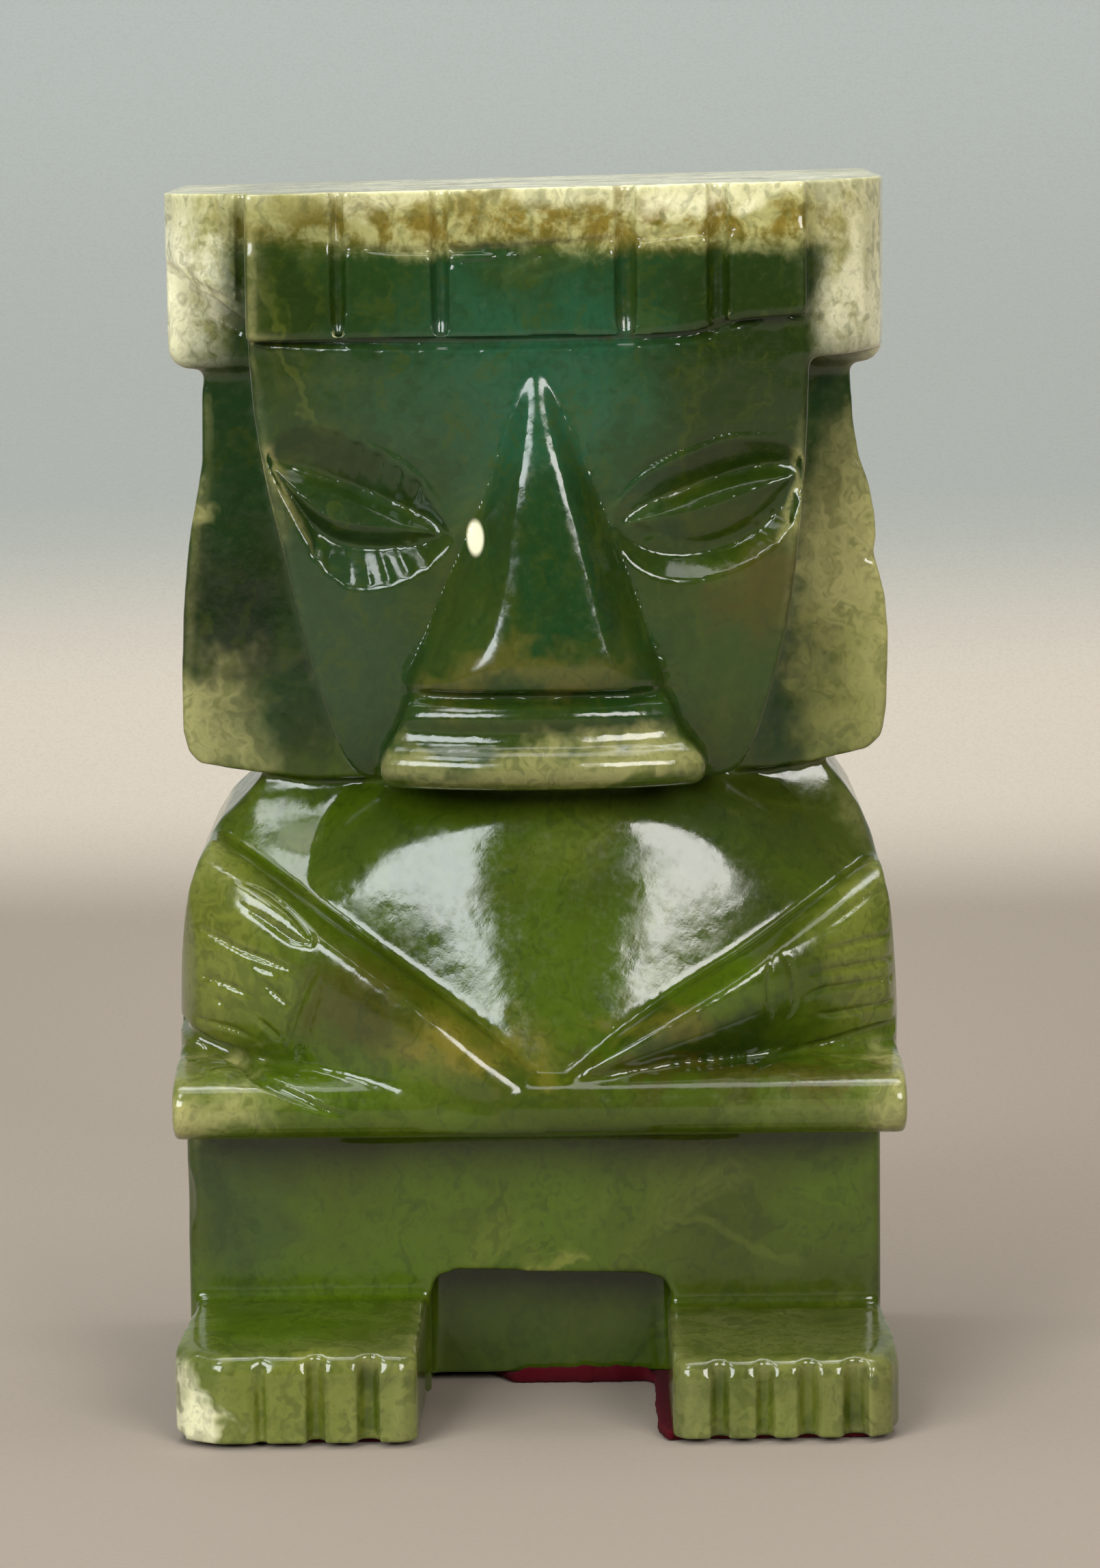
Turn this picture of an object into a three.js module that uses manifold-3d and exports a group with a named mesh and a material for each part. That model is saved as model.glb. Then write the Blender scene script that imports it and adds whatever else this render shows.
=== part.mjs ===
// A carved green onyx idol figure on a felt pad, in millimetres.
// X runs across the front, -Y is the front, +Z is up and the felt's underside is at Z 0.
import * as THREE from "three";
import { mergeVertices } from "three/addons/utils/BufferGeometryUtils.js";
import Module from "manifold-3d";

const wasm = await Module();
wasm.setup();

// Overall sizes
const TOP_Z = 165.2;
const TOP_TILT = 0.8; // degrees, the right end of the top stands higher
const BACK_Y = 36;
const TOE_Y = -36;
const EDGE = 1.5; // usual rounding of an outer edge
const MERGE = 1e-4;
const MIDDLE_X = 0.9; // the sizes below are measured from the nose line, and this is the base's middle

// Felt pad
const FELT_THICK = 1.4;
const FELT_INSET = 0.8; // how far the felt stays inside the stone at the outer edges
const FELT_OVERHANG = 1; // how far it shows past the stone inside the recess

// Feet and the recess between them
const FOOT_LEFT = [-47.9, -15.5];
const FOOT_RIGHT = [18.2, 47.9];
const FOOT_FRONT_Z = 11.4;
const FOOT_BACK_Z = 13;
const FOOT_ROUND = 2.6;
const RECESS_Y = -2;
const RECESS_TOP_Z = 18;
const TOE_GROOVES = [-42.4, -36.6, -29.2, -22.1, 24.2, 30.2, 35.9, 42.1];
const TOE_GROOVE_RADIUS = 1.35;
const OUTER_TOE_CHAMFER = 4.2;

// Skirt panel above the feet
const PANEL_X = 47.2;
const PANEL_Y = -12;
const CHIP_Z = 28.8;
const CHIP_RADIUS = 13;
const CHIP_DEPTH = 2.2;

// Knee ledge, a rounded roll across the whole front
const LEDGE = { x0: -48.6, x1: 50.4, y: -26, z0: 38.8, z1: 50, back: 8 };

// Torso, as levels of height, left edge, right edge and front
const TORSO_SIDE_Y = 2;
const TORSO_LEVELS = [
  [38.8, -48.2, 50, -19],
  [48, -48.2, 50, -19.5],
  [56, -47.9, 49.7, -21.5],
  [64, -47.2, 48.8, -22.5],
  [71, -46, 48, -22],
  [76, -44.2, 46.6, -20.5],
  [80, -40.6, 44.8, -18.5],
  [84, -37.4, 41.8, -16],
  [88, -35.6, 38.4, -13],
];
const ARM_PROUD = 3; // how far the arms stand in front of the torso's sides

// Head
const FACE_SIDE_Y = -8;
const FACE_LEVELS = [
  [86.4, -23, 27.4, -16],
  [89, -24.9, 29.6, -18],
  [96, -27.3, 31.8, -18.8],
  [104, -29.6, 34.2, -19.2],
  [115, -32, 35.8, -19.6],
  [127, -34.4, 37, -20.4],
  [136, -36, 37.5, -21],
  [149, -36.6, 37.6, -21],
];
const MUZZLE_LEVELS = [
  [98.8, -16.4, 18.4, -30],
  [100.4, -16.3, 18, -32],
  [106, -13.8, 16, -31.2],
  [114, -10.4, 13.4, -29],
  [124, -6, 9.8, -25.6],
  [134, -1.6, 5.2, -22.6],
  [141.5, 0.9, 2.1, -21.2],
];
const NOSE_LEVELS = [
  [100.6, -6.4, 11.4, -32.2],
  [103, -5.4, 11, -34.4],
  [109, -2.6, 9.2, -34],
  [118, -1.6, 6.8, -31],
  [128, -0.6, 4.4, -27],
  [136, 0.4, 3, -23.8],
  [141.8, 1.1, 2, -21.4],
];
const MOUTH_LEVELS = [
  [86.2, -19.6, 22.6, -22],
  [91, -19.8, 23.9, -25],
  [99.4, -16.2, 18.6, -26],
];
const UPPER_LIP = { x0: -16.6, x1: 20, y: -30.4, z: 96, depth: 4, half: 2.3, bow: 3 };
const LOWER_LIP = { x0: -20.2, x1: 23.6, y: -29.8, z: 88.4, depth: 6, half: 3.3, bow: 4 };

// Headdress: a front block with two tiers, and a wing set back at each side
const BLOCK = { x0: -36.6, x1: 37.5, y: -22, z0: 145.4 };
const TIER_STEP = 0.8; // the lower tier stands this much proud of the upper one
const WING = { x0: -48.2, x1: 48.2, y: -4, z0: 140.6, round: 4 };
const CHANNELS = [-24.3, -11.1, 13.4, 25.5];
const CHANNEL_WIDTH = [1.8, 2.2, 2.9, 3];
const CHANNEL_DEPTH = 1.4;
const BROW_GROOVE = [[-38, 145.2], [20, 145.5], [28.3, 147.7], [39, 148.1]];
const TIER_GROOVE = [[-24, 157.3], [-16.5, 157], [14, 158.2], [32, 159.9]];
const TIER_LINE = [[-40, 157.3], ...TIER_GROOVE, [40, 160.3]];

// Ears
const EAR = { x0: -47, x1: 48.5, y: -1.5, leftZ: 86.8, rightZ: 87.8, waistLeft: -43.8, waistRight: 44.2, round: 2.4 };

// Materials
const onyx = new THREE.MeshStandardMaterial({ color: 0x4c5d1e, roughness: 0.12, metalness: 0 });
const felt = new THREE.MeshStandardMaterial({ color: 0x6e0d1c, roughness: 0.95, metalness: 0 });

// A closed geometry becomes a solid that can be joined and cut.
function solidOf(geometry) {
  const bare = new THREE.BufferGeometry();
  bare.setAttribute("position", geometry.getAttribute("position"));
  bare.setIndex(geometry.getIndex());
  const merged = mergeVertices(bare, MERGE);
  return new wasm.Manifold(
    new wasm.Mesh({
      numProp: 3,
      vertProperties: merged.getAttribute("position").array,
      triVerts: new Uint32Array(merged.getIndex().array),
    }),
  );
}

function meshOf(name, solid, material) {
  const made = solid.getMesh();
  const geometry = new THREE.BufferGeometry();
  geometry.setAttribute("position", new THREE.BufferAttribute(made.vertProperties, 3));
  geometry.setIndex(new THREE.BufferAttribute(made.triVerts, 1));
  geometry.computeVertexNormals();
  const mesh = new THREE.Mesh(geometry, material);
  mesh.name = name;
  return mesh;
}

const join = (solids) => solids.reduce((all, next) => all.add(next));
const cut = (body, cutters) => cutters.reduce((left, next) => left.subtract(next), body);

function block(x0, x1, y0, y1, z0, z1) {
  const box = new THREE.BoxGeometry(x1 - x0, y1 - y0, z1 - z0);
  box.translate((x0 + x1) / 2, (y0 + y1) / 2, (z0 + z1) / 2);
  return solidOf(box);
}

// An outline drawn across and up, given depth from front to back with rounded edges.
function plate(outline, front, back, round, curveSegments = 6) {
  const geometry = new THREE.ExtrudeGeometry(outline, {
    depth: back - front - 2 * round,
    bevelEnabled: round > 0,
    bevelSize: round,
    bevelThickness: round,
    bevelOffset: -round,
    bevelSegments: 2,
    curveSegments,
  });
  geometry.rotateX(Math.PI / 2);
  geometry.translate(0, back - round, 0);
  return solidOf(geometry);
}

// A profile drawn in depth and height, run across from x0 to x1.
function bar(profile, x0, x1, round) {
  const geometry = new THREE.ExtrudeGeometry(profile, {
    depth: x1 - x0 - 2 * round,
    bevelEnabled: round > 0,
    bevelSize: round,
    bevelThickness: round,
    bevelOffset: -round,
    bevelSegments: 3,
    curveSegments: 6,
  });
  const turn = new THREE.Matrix4().makeBasis(
    new THREE.Vector3(0, 1, 0),
    new THREE.Vector3(0, 0, 1),
    new THREE.Vector3(1, 0, 0),
  );
  geometry.applyMatrix4(turn);
  geometry.translate(x0 + round, 0, 0);
  return solidOf(geometry);
}

// A rounded rectangle, with its own radius at each corner: low left, low right, top right, top left.
function roundedOutline(x0, x1, z0, z1, radii) {
  const [a, b, c, d] = radii;
  const outline = new THREE.Shape();
  outline.moveTo(x0 + a, z0);
  outline.lineTo(x1 - b, z0);
  outline.absarc(x1 - b, z0 + b, b, -Math.PI / 2, 0, false);
  outline.lineTo(x1, z1 - c);
  outline.absarc(x1 - c, z1 - c, c, 0, Math.PI / 2, false);
  outline.lineTo(x0 + d, z1);
  outline.absarc(x0 + d, z1 - d, d, Math.PI / 2, Math.PI, false);
  outline.lineTo(x0, z0 + a);
  outline.absarc(x0 + a, z0 + a, a, Math.PI, 1.5 * Math.PI, false);
  return outline;
}

// Rings of points joined one above the other and capped at both ends.
function loft(rings) {
  const count = rings[0].length;
  const points = rings.flat();
  const triangles = [];
  for (let level = 0; level + 1 < rings.length; level += 1) {
    for (let i = 0; i < count; i += 1) {
      const here = level * count + i;
      const beside = level * count + ((i + 1) % count);
      triangles.push(here, beside, beside + count, here, beside + count, here + count);
    }
  }
  const capAt = (ring, first, flip) => {
    const middle = points.length;
    const sum = ring.reduce((all, p) => all.map((value, axis) => value + p[axis]), [0, 0, 0]);
    points.push(sum.map((value) => value / count));
    for (let i = 0; i < count; i += 1) {
      const here = first + i;
      const beside = first + ((i + 1) % count);
      triangles.push(...(flip ? [middle, beside, here] : [middle, here, beside]));
    }
  };
  capAt(rings[0], 0, true);
  capAt(rings[rings.length - 1], (rings.length - 1) * count, false);
  const geometry = new THREE.BufferGeometry();
  geometry.setAttribute("position", new THREE.Float32BufferAttribute(points.flat(), 3));
  geometry.setIndex(triangles);
  return solidOf(geometry);
}

// One level of a bowed front: a superellipse from side to side, closed by a flat back.
function bowedRing(z, left, right, front, side, back, power, steps) {
  const middle = (left + right) / 2;
  const half = (right - left) / 2;
  const ring = [[right, back, z], [left, back, z]];
  for (let i = 0; i <= steps; i += 1) {
    const angle = Math.PI * (1 - i / steps);
    const across = Math.sign(Math.cos(angle)) * Math.abs(Math.cos(angle)) ** (2 / power);
    const forward = Math.abs(Math.sin(angle)) ** (2 / power);
    ring.push([middle + half * across, side - (side - front) * forward, z]);
  }
  return ring;
}

function bowedLoft(levels, side, back, power, steps, grow = 0) {
  return loft(
    levels.map(([z, left, right, front]) =>
      bowedRing(z, left - grow, right + grow, front - grow, side, back, power, steps),
    ),
  );
}

// A lip: an oval section swept across, bowed back at both ends.
function roll({ x0, x1, y, z, depth, half, bow }) {
  const steps = 10;
  const sides = 10;
  const rings = [];
  for (let i = 0; i <= steps; i += 1) {
    const t = (2 * i) / steps - 1;
    const taper = Math.max(0.3, Math.sqrt(1 - Math.abs(t) ** 6));
    const ring = [];
    for (let j = 0; j < sides; j += 1) {
      const angle = (2 * Math.PI * j) / sides;
      ring.push([
        x0 + ((t + 1) * (x1 - x0)) / 2,
        y + depth + bow * t * t + depth * taper * Math.cos(angle),
        z + half * taper * Math.sin(angle),
      ]);
    }
    rings.push(ring);
  }
  return loft(rings);
}

// A V-shaped cut along a line on a front face, its mouth as wide as it is given.
function groove(line, faceY, width, depth) {
  const rings = line.map(([x, z]) => [
    [x, faceY - 1, z - width],
    [x, faceY + depth, z],
    [x, faceY - 1, z + width],
  ]);
  return loft(rings);
}

// A thin upright blade that follows a slanted line, used to cut a groove only skin deep.
function blade([x0, z0], [x1, z1], width) {
  const length = Math.hypot(x1 - x0, z1 - z0);
  const box = new THREE.BoxGeometry(length, 2 * BACK_Y, width);
  box.rotateY(-Math.atan2(z1 - z0, x1 - x0));
  box.translate((x0 + x1) / 2, TOE_Y, (z0 + z1) / 2);
  return solidOf(box);
}

function outlineOf(points) {
  const shape = new THREE.Shape();
  points.forEach(([x, z], i) => (i ? shape.lineTo(x, z) : shape.moveTo(x, z)));
  return shape;
}

// An almond between an outer and an inner corner, bulging by the two given heights.
function almond(corner, other, above, below) {
  const shape = new THREE.Shape();
  const [x0, z0] = corner;
  const [x1, z1] = other;
  const lift = (share, rise) => [x0 + share * (x1 - x0), z0 + share * (z1 - z0) + rise];
  shape.moveTo(x0, z0);
  shape.bezierCurveTo(...lift(0.3, -below), ...lift(0.75, -below), x1, z1);
  shape.bezierCurveTo(...lift(0.7, above), ...lift(0.2, above), x0, z0);
  return shape;
}

// The region above a line that runs across the front, up to a level height.
function above(line, top) {
  const last = line[line.length - 1];
  return outlineOf([...line, [last[0], top], [line[0][0], top]]);
}

function headdress() {
  const brow = BROW_GROOVE.map(([x, z]) => [THREE.MathUtils.clamp(x, BLOCK.x0, BLOCK.x1), z - 0.4]);
  const tiers = plate(above(brow, TOP_Z + 2), BLOCK.y, BACK_Y - EDGE, 0);
  const upper = plate(above(TIER_LINE, TOP_Z + 4), BLOCK.y - 1, BLOCK.y + TIER_STEP, 0);
  const wings = plate(
    roundedOutline(WING.x0, WING.x1, WING.z0, TOP_Z + 6, [WING.round, WING.round, 2 * EDGE, 2 * EDGE]),
    WING.y, BACK_Y, EDGE,
  );
  const channels = CHANNELS.map((x, i) => {
    const half = CHANNEL_WIDTH[i] / 2;
    const floor = BLOCK.y + TIER_STEP + CHANNEL_DEPTH;
    return block(x - half, x + half, BLOCK.y - 1, floor, BLOCK.z0, TOP_Z + 2);
  });
  return join([cut(tiers, [upper, ...channels]), wings]);
}

// The head's outline behind the face: ear slabs, a narrower neck of stone and the wings' undersides.
function headOutline() {
  const { x0, x1, leftZ, rightZ, waistLeft, waistRight, round } = EAR;
  const wingTop = WING.z0 + 2 * WING.round;
  const outline = new THREE.Shape();
  outline.moveTo(x0 + round, leftZ);
  outline.lineTo(-30, leftZ - 2);
  outline.lineTo(32, rightZ - 1.6);
  outline.lineTo(x1 - round, rightZ);
  outline.absarc(x1 - round, rightZ + round, round, -Math.PI / 2, 0, false);
  outline.lineTo(x1, 109);
  outline.quadraticCurveTo(x1, 114, x1 - 1.6, 116.4);
  outline.bezierCurveTo(x1 - 0.8, 121, waistRight + 2.2, 125.5, waistRight + 0.4, 129);
  outline.lineTo(waistRight, WING.z0 + 0.5);
  outline.lineTo(waistRight, wingTop);
  outline.lineTo(waistLeft, wingTop);
  outline.lineTo(waistLeft, 128);
  outline.bezierCurveTo(waistLeft - 1.4, 122, x0 + 0.6, 117, x0, 106);
  outline.lineTo(x0, leftZ + round);
  outline.absarc(x0 + round, leftZ + round, round, Math.PI, 1.5 * Math.PI, false);
  return outline;
}

function eye(corner, other) {
  const lid = plate(almond(corner, other, 8.4, 9.6), -21.6, -10, 0.8, 8);
  const ballMiddle = [(corner[0] + other[0]) / 2, (corner[1] + other[1]) / 2 - 0.6];
  const rim = plate(almond([corner[0] + 2, corner[1]], [other[0] - 2, other[1]], 4.6, 6.2), -24, -19.9, 0, 8);
  const ball = new THREE.SphereGeometry(1, 12, 8);
  ball.scale(9.5, 3, 3.8);
  ball.rotateY(Math.atan2(corner[1] - other[1], other[0] - corner[0]) * 0.8);
  ball.translate(ballMiddle[0], -19.2, ballMiddle[1]);
  return join([cut(lid, [rim]), solidOf(ball)]);
}

function face() {
  return join([
    bowedLoft(FACE_LEVELS, FACE_SIDE_Y, 8, 3.4, 16),
    bowedLoft(MUZZLE_LEVELS, FACE_SIDE_Y, -6, 2.2, 14),
    bowedLoft(NOSE_LEVELS, FACE_SIDE_Y - 8, -12, 2.4, 10),
    bowedLoft(MOUTH_LEVELS, FACE_SIDE_Y, -6, 2.6, 12),
    roll(UPPER_LIP),
    roll(LOWER_LIP),
    eye([-34, 129.6], [-10.2, 119.4]),
    eye([11.2, 120.6], [36, 127.6]),
  ]);
}

function armOutline(side, edge) {
  const slope = side < 0 ? [[-38, 74.5], [-19.6, 61.8], [2.4, 46.4]] : [[43, 72.5], [33, 64.2], [15.8, 52.8], [2.4, 46.4]];
  return outlineOf([[2.4, 42], ...slope.slice().reverse(), [edge, 76], [edge, 42]]);
}

// Fingers and bracelets cut skin deep into each crossed arm.
function armCuts() {
  const outer = bowedLoft(TORSO_LEVELS, TORSO_SIDE_Y, BACK_Y, 3, 18, ARM_PROUD + 1);
  const inner = bowedLoft(TORSO_LEVELS, TORSO_SIDE_Y, BACK_Y + 1, 3, 18, ARM_PROUD - 0.9);
  const lines = [
    [[-52, 71.6], [-29.8, 66.2], 1],
    [[-52, 67.2], [-31.8, 61.4], 1],
    [[-52, 61], [-33, 57], 1],
    [[-52, 55.6], [-33.9, 53], 1],
    [[-28.4, 63.2], [-33.2, 51], 0.7],
    [[-26.8, 62.8], [-31.6, 49], 0.7],
    [[54, 69], [38.7, 65.5], 1],
    [[54, 63.4], [37.7, 62], 1],
    [[54, 58.6], [36.8, 58.2], 1],
    [[54, 53.6], [36.6, 54.6], 1],
    [[31.8, 64], [31.8, 53], 0.7],
    [[34.4, 63.6], [34.4, 53.4], 0.7],
  ];
  const shell = outer.subtract(inner);
  return lines.map(([from, to, width]) => blade(from, to, width).intersect(shell));
}

function torso() {
  const chest = bowedLoft(TORSO_LEVELS, TORSO_SIDE_Y, BACK_Y, 2.3, 18);
  const envelope = bowedLoft(TORSO_LEVELS, TORSO_SIDE_Y, BACK_Y - 2, 3, 18, ARM_PROUD)
    .intersect(block(-48.4, 50.2, TOE_Y, BACK_Y, 38, 90));
  const arms = [
    plate(armOutline(-1, -54), -30, BACK_Y - 4, 0),
    plate(armOutline(1, 56), -30, BACK_Y - 4, 0),
  ].map((arm) => arm.intersect(envelope));
  const ledgeProfile = roundedOutline(LEDGE.y, LEDGE.back, LEDGE.z0, LEDGE.z1, [4.5, 3.4, 3.4, 5.4]);
  return join([cut(join([chest, ...arms]), armCuts()), bar(ledgeProfile, LEDGE.x0, LEDGE.x1, 3)]);
}

function skirt() {
  const panel = plate(
    roundedOutline(-PANEL_X, PANEL_X, FELT_THICK - 6, 46, [2, 2, 2, 2]), PANEL_Y, BACK_Y, EDGE,
  );
  const chip = new THREE.CylinderGeometry(CHIP_RADIUS, CHIP_RADIUS, 3 * CHIP_DEPTH, 24);
  chip.rotateX(Math.PI / 2);
  chip.translate(-PANEL_X - CHIP_RADIUS + CHIP_DEPTH, PANEL_Y, CHIP_Z);
  return panel.subtract(solidOf(chip));
}

function foot([x0, x1]) {
  const side = new THREE.Shape();
  side.moveTo(TOE_Y + 0.6, FELT_THICK);
  side.lineTo(BACK_Y - 4, FELT_THICK);
  side.lineTo(BACK_Y - 4, FOOT_BACK_Z);
  side.lineTo(PANEL_Y, FOOT_BACK_Z);
  side.lineTo(TOE_Y + FOOT_ROUND, FOOT_FRONT_Z + 0.2);
  side.absarc(TOE_Y + FOOT_ROUND, FOOT_FRONT_Z + 0.2 - FOOT_ROUND, FOOT_ROUND, Math.PI / 2, Math.PI, false);
  side.lineTo(TOE_Y, FELT_THICK + 0.6);
  return bar(side, x0, x1, 0);
}

function toeCuts() {
  const grooves = TOE_GROOVES.map((x) => {
    const round = new THREE.CylinderGeometry(TOE_GROOVE_RADIUS, TOE_GROOVE_RADIUS, 2 * FOOT_FRONT_Z, 10);
    round.rotateX(Math.PI / 2);
    round.translate(x, TOE_Y - 0.3, FOOT_FRONT_Z - 0.6);
    return solidOf(round);
  });
  const corner = new THREE.BoxGeometry(2 * OUTER_TOE_CHAMFER, 2 * OUTER_TOE_CHAMFER, 3 * FOOT_FRONT_Z);
  corner.rotateZ(Math.PI / 4);
  corner.translate(FOOT_LEFT[0] - OUTER_TOE_CHAMFER / 2, TOE_Y - OUTER_TOE_CHAMFER / 2, FOOT_FRONT_Z);
  return [...grooves, solidOf(corner)];
}

function feet() {
  const recess = plate(
    roundedOutline(FOOT_LEFT[1] + 1.2, FOOT_RIGHT[0] + 0.3, -9, RECESS_TOP_Z, [1, 1, 2.4, 2.4]),
    TOE_Y - 2, RECESS_Y, 0,
  );
  const both = join([foot(FOOT_LEFT), foot(FOOT_RIGHT)]);
  return { both: cut(both, toeCuts()), recess };
}

const head = () => plate(headOutline(), EAR.y, BACK_Y, EDGE);

function topCut() {
  const box = new THREE.BoxGeometry(140, 120, 20);
  box.translate(0, 0, 10);
  box.rotateY(THREE.MathUtils.degToRad(-TOP_TILT));
  box.translate(0, 0, TOP_Z);
  return solidOf(box);
}

function figure() {
  const { both, recess } = feet();
  const body = join([skirt().subtract(recess), both, torso(), head(), face(), headdress()]);
  const cuts = [
    groove(BROW_GROOVE, BLOCK.y, 1.6, 1.5),
    groove(TIER_GROOVE, BLOCK.y, 1.2, 1.2),
    topCut(),
    block(-80, 80, -80, 80, -40, FELT_THICK),
  ];
  return cut(body, cuts);
}

// The felt is cut to the base's plan, a wide U, and glued under it.
function feltPad() {
  const left = FOOT_LEFT[0] + FELT_INSET;
  const right = FOOT_RIGHT[1] - FELT_INSET;
  const front = TOE_Y + FELT_INSET;
  const back = BACK_Y - FELT_INSET;
  const plan = outlineOf([
    [left, back],
    [left, front],
    [FOOT_LEFT[1] - FELT_INSET, front],
    [FOOT_LEFT[1] - FELT_INSET, RECESS_Y - FELT_OVERHANG],
    [FOOT_RIGHT[0] - FELT_OVERHANG, RECESS_Y - FELT_OVERHANG],
    [FOOT_RIGHT[0] - FELT_OVERHANG, front],
    [right, front],
    [right, back],
  ]);
  const geometry = new THREE.ExtrudeGeometry(plan, { depth: FELT_THICK, bevelEnabled: false });
  return solidOf(geometry);
}

const idol = new THREE.Group();
idol.position.x = -MIDDLE_X;
idol.add(meshOf("figure", figure(), onyx));
idol.add(meshOf("felt_pad", feltPad(), felt));

export default idol;
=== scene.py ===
"""A carved green onyx idol figure on a glued felt pad, seen from the front on a plain pale floor."""

import math

import bmesh
import bpy
from mathutils import Matrix, Vector
from mathutils.bvhtree import BVHTree


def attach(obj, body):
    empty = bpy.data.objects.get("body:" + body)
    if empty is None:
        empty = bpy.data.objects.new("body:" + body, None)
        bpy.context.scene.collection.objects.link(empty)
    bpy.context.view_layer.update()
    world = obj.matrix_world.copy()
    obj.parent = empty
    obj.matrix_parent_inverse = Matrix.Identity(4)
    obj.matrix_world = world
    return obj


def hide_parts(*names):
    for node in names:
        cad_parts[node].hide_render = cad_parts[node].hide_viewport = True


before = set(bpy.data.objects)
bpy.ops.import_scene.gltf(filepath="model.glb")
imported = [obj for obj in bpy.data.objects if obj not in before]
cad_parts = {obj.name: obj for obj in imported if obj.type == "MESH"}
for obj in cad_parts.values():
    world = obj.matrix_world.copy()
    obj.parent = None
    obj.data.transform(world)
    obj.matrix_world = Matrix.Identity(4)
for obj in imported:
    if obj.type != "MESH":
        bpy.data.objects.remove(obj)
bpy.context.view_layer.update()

MM = 0.001
BACK_Y = 36
FELT_TOP = 1.4
FELT_FRONT = -33.4 # the felt stops short of the toes
TOE_REST = 0.7 # the toes' tips hang a little lower than the felt's top
TOP_Z = 165.2
TOP_TILT = math.radians(0.8)
FAR = 90

# How finely the stone is worked
ROUGH_GRAIN = 0.6
TOOL_GRAIN = 0.25
FINE_GRAIN = 0.32
STONE_FACES = 195000


# Bench tools
def clear_selection():
    if bpy.context.mode != "OBJECT":
        bpy.ops.object.mode_set(mode="OBJECT")
    bpy.ops.object.select_all(action="DESELECT")


def take(piece):
    clear_selection()
    piece.select_set(True)
    bpy.context.view_layer.objects.active = piece
    return piece


def settle(name):
    """Names the new piece and puts its place, turn and size into its mesh."""
    piece = take(bpy.context.object)
    piece.name = name
    bpy.ops.object.transform_apply(location=True, rotation=True, scale=True)
    return piece


def edit(piece, kind, test):
    """Opens a piece in edit mode with the parts that pass a test on their places (mm) selected."""
    take(piece)
    bpy.ops.object.mode_set(mode="EDIT")
    bpy.ops.mesh.select_mode(type=kind)
    bpy.ops.mesh.select_all(action="DESELECT")
    work = bmesh.from_edit_mesh(piece.data)
    for part in {"VERT": work.verts, "EDGE": work.edges, "FACE": work.faces}[kind]:
        corners = [part] if kind == "VERT" else part.verts
        if test([corner.co / MM for corner in corners]):
            part.select_set(True)
    work.select_flush_mode()
    bmesh.update_edit_mesh(piece.data)


def face_outwards(piece):
    take(piece)
    bpy.ops.object.mode_set(mode="EDIT")
    bpy.ops.mesh.select_all(action="SELECT")
    bpy.ops.mesh.remove_doubles(threshold=0.001 * MM)
    bpy.ops.mesh.normals_make_consistent(inside=False)
    bpy.ops.object.mode_set(mode="OBJECT")
    return piece


def round_edges(piece, test, width, steps=3):
    edit(piece, "EDGE", test)
    bpy.ops.mesh.bevel(offset=width * MM, segments=steps, affect="EDGES", clamp_overlap=True)
    bpy.ops.object.mode_set(mode="OBJECT")
    return piece


def modify(piece, kind, **settings):
    take(piece)
    bpy.ops.object.modifier_add(type=kind)
    modifier = piece.modifiers[-1]
    for key, value in settings.items():
        setattr(modifier, key, value)
    bpy.ops.object.modifier_apply(modifier=modifier.name)
    return piece


def remesh(piece, grain):
    return modify(piece, "REMESH", mode="VOXEL", voxel_size=grain * MM, use_smooth_shade=True)


def polish(piece, passes, strength=0.5):
    return modify(piece, "SMOOTH", factor=strength, iterations=passes)


def join(name, pieces):
    take(pieces[0])
    for piece in pieces:
        piece.select_set(True)
    bpy.ops.object.join()
    bpy.context.object.name = name
    return bpy.context.object


def combine(piece, how, tool):
    modify(piece, "BOOLEAN", operation=how, solver="MANIFOLD", object=tool)
    bpy.data.objects.remove(tool)
    return piece


def smooth_line(points, steps=6, closed=False):
    """More points along a line, bent smoothly through those given. Each may carry a radius last."""
    points = [Vector(point) for point in points]
    count = len(points)
    made = []
    for i in range(count if closed else count - 1):
        if closed:
            a, b, c, d = (points[(i + k) % count] for k in (-1, 0, 1, 2))
        else:
            b, c = points[i], points[i + 1]
            a = points[i - 1] if i else b * 2 - c
            d = points[i + 2] if i + 2 < count else c * 2 - b
        for k in range(steps):
            t = k / steps
            made.append(
                b
                + (c - a) * (0.5 * t)
                + (a * 2 - b * 5 + c * 4 - d) * (0.5 * t * t)
                + (b * 3 - a - c * 3 + d) * (0.5 * t**3)
            )
    if not closed:
        made.append(points[-1])
    return made


# Shapes, all in millimetres
def block(name, low, high):
    middle = [(a + b) / 2 * MM for a, b in zip(low, high)]
    bpy.ops.mesh.primitive_cube_add(size=1, location=middle)
    bpy.context.object.scale = [(b - a) * MM for a, b in zip(low, high)]
    return settle(name)


def slab(name, outline, front, back):
    """An outline drawn across and up, sawn through from front to back."""
    bpy.ops.mesh.primitive_circle_add(vertices=len(outline), radius=MM, fill_type="NGON")
    piece = settle(name)
    for vertex, (x, z) in zip(piece.data.vertices, outline):
        vertex.co = Vector((x, front, z)) * MM
    edit(piece, "FACE", lambda corners: True)
    bpy.ops.mesh.extrude_region_move(TRANSFORM_OT_translate={"value": (0, (back - front) * MM, 0)})
    return face_outwards(piece)


def post(name, plan, low, high):
    """An outline drawn on the floor, raised from one height to another."""
    bpy.ops.mesh.primitive_circle_add(vertices=len(plan), radius=MM, fill_type="NGON")
    piece = settle(name)
    for vertex, (x, y) in zip(piece.data.vertices, plan):
        vertex.co = Vector((x, y, low)) * MM
    edit(piece, "FACE", lambda corners: True)
    bpy.ops.mesh.extrude_region_move(TRANSFORM_OT_translate={"value": (0, 0, (high - low) * MM)})
    return face_outwards(piece)


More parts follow.
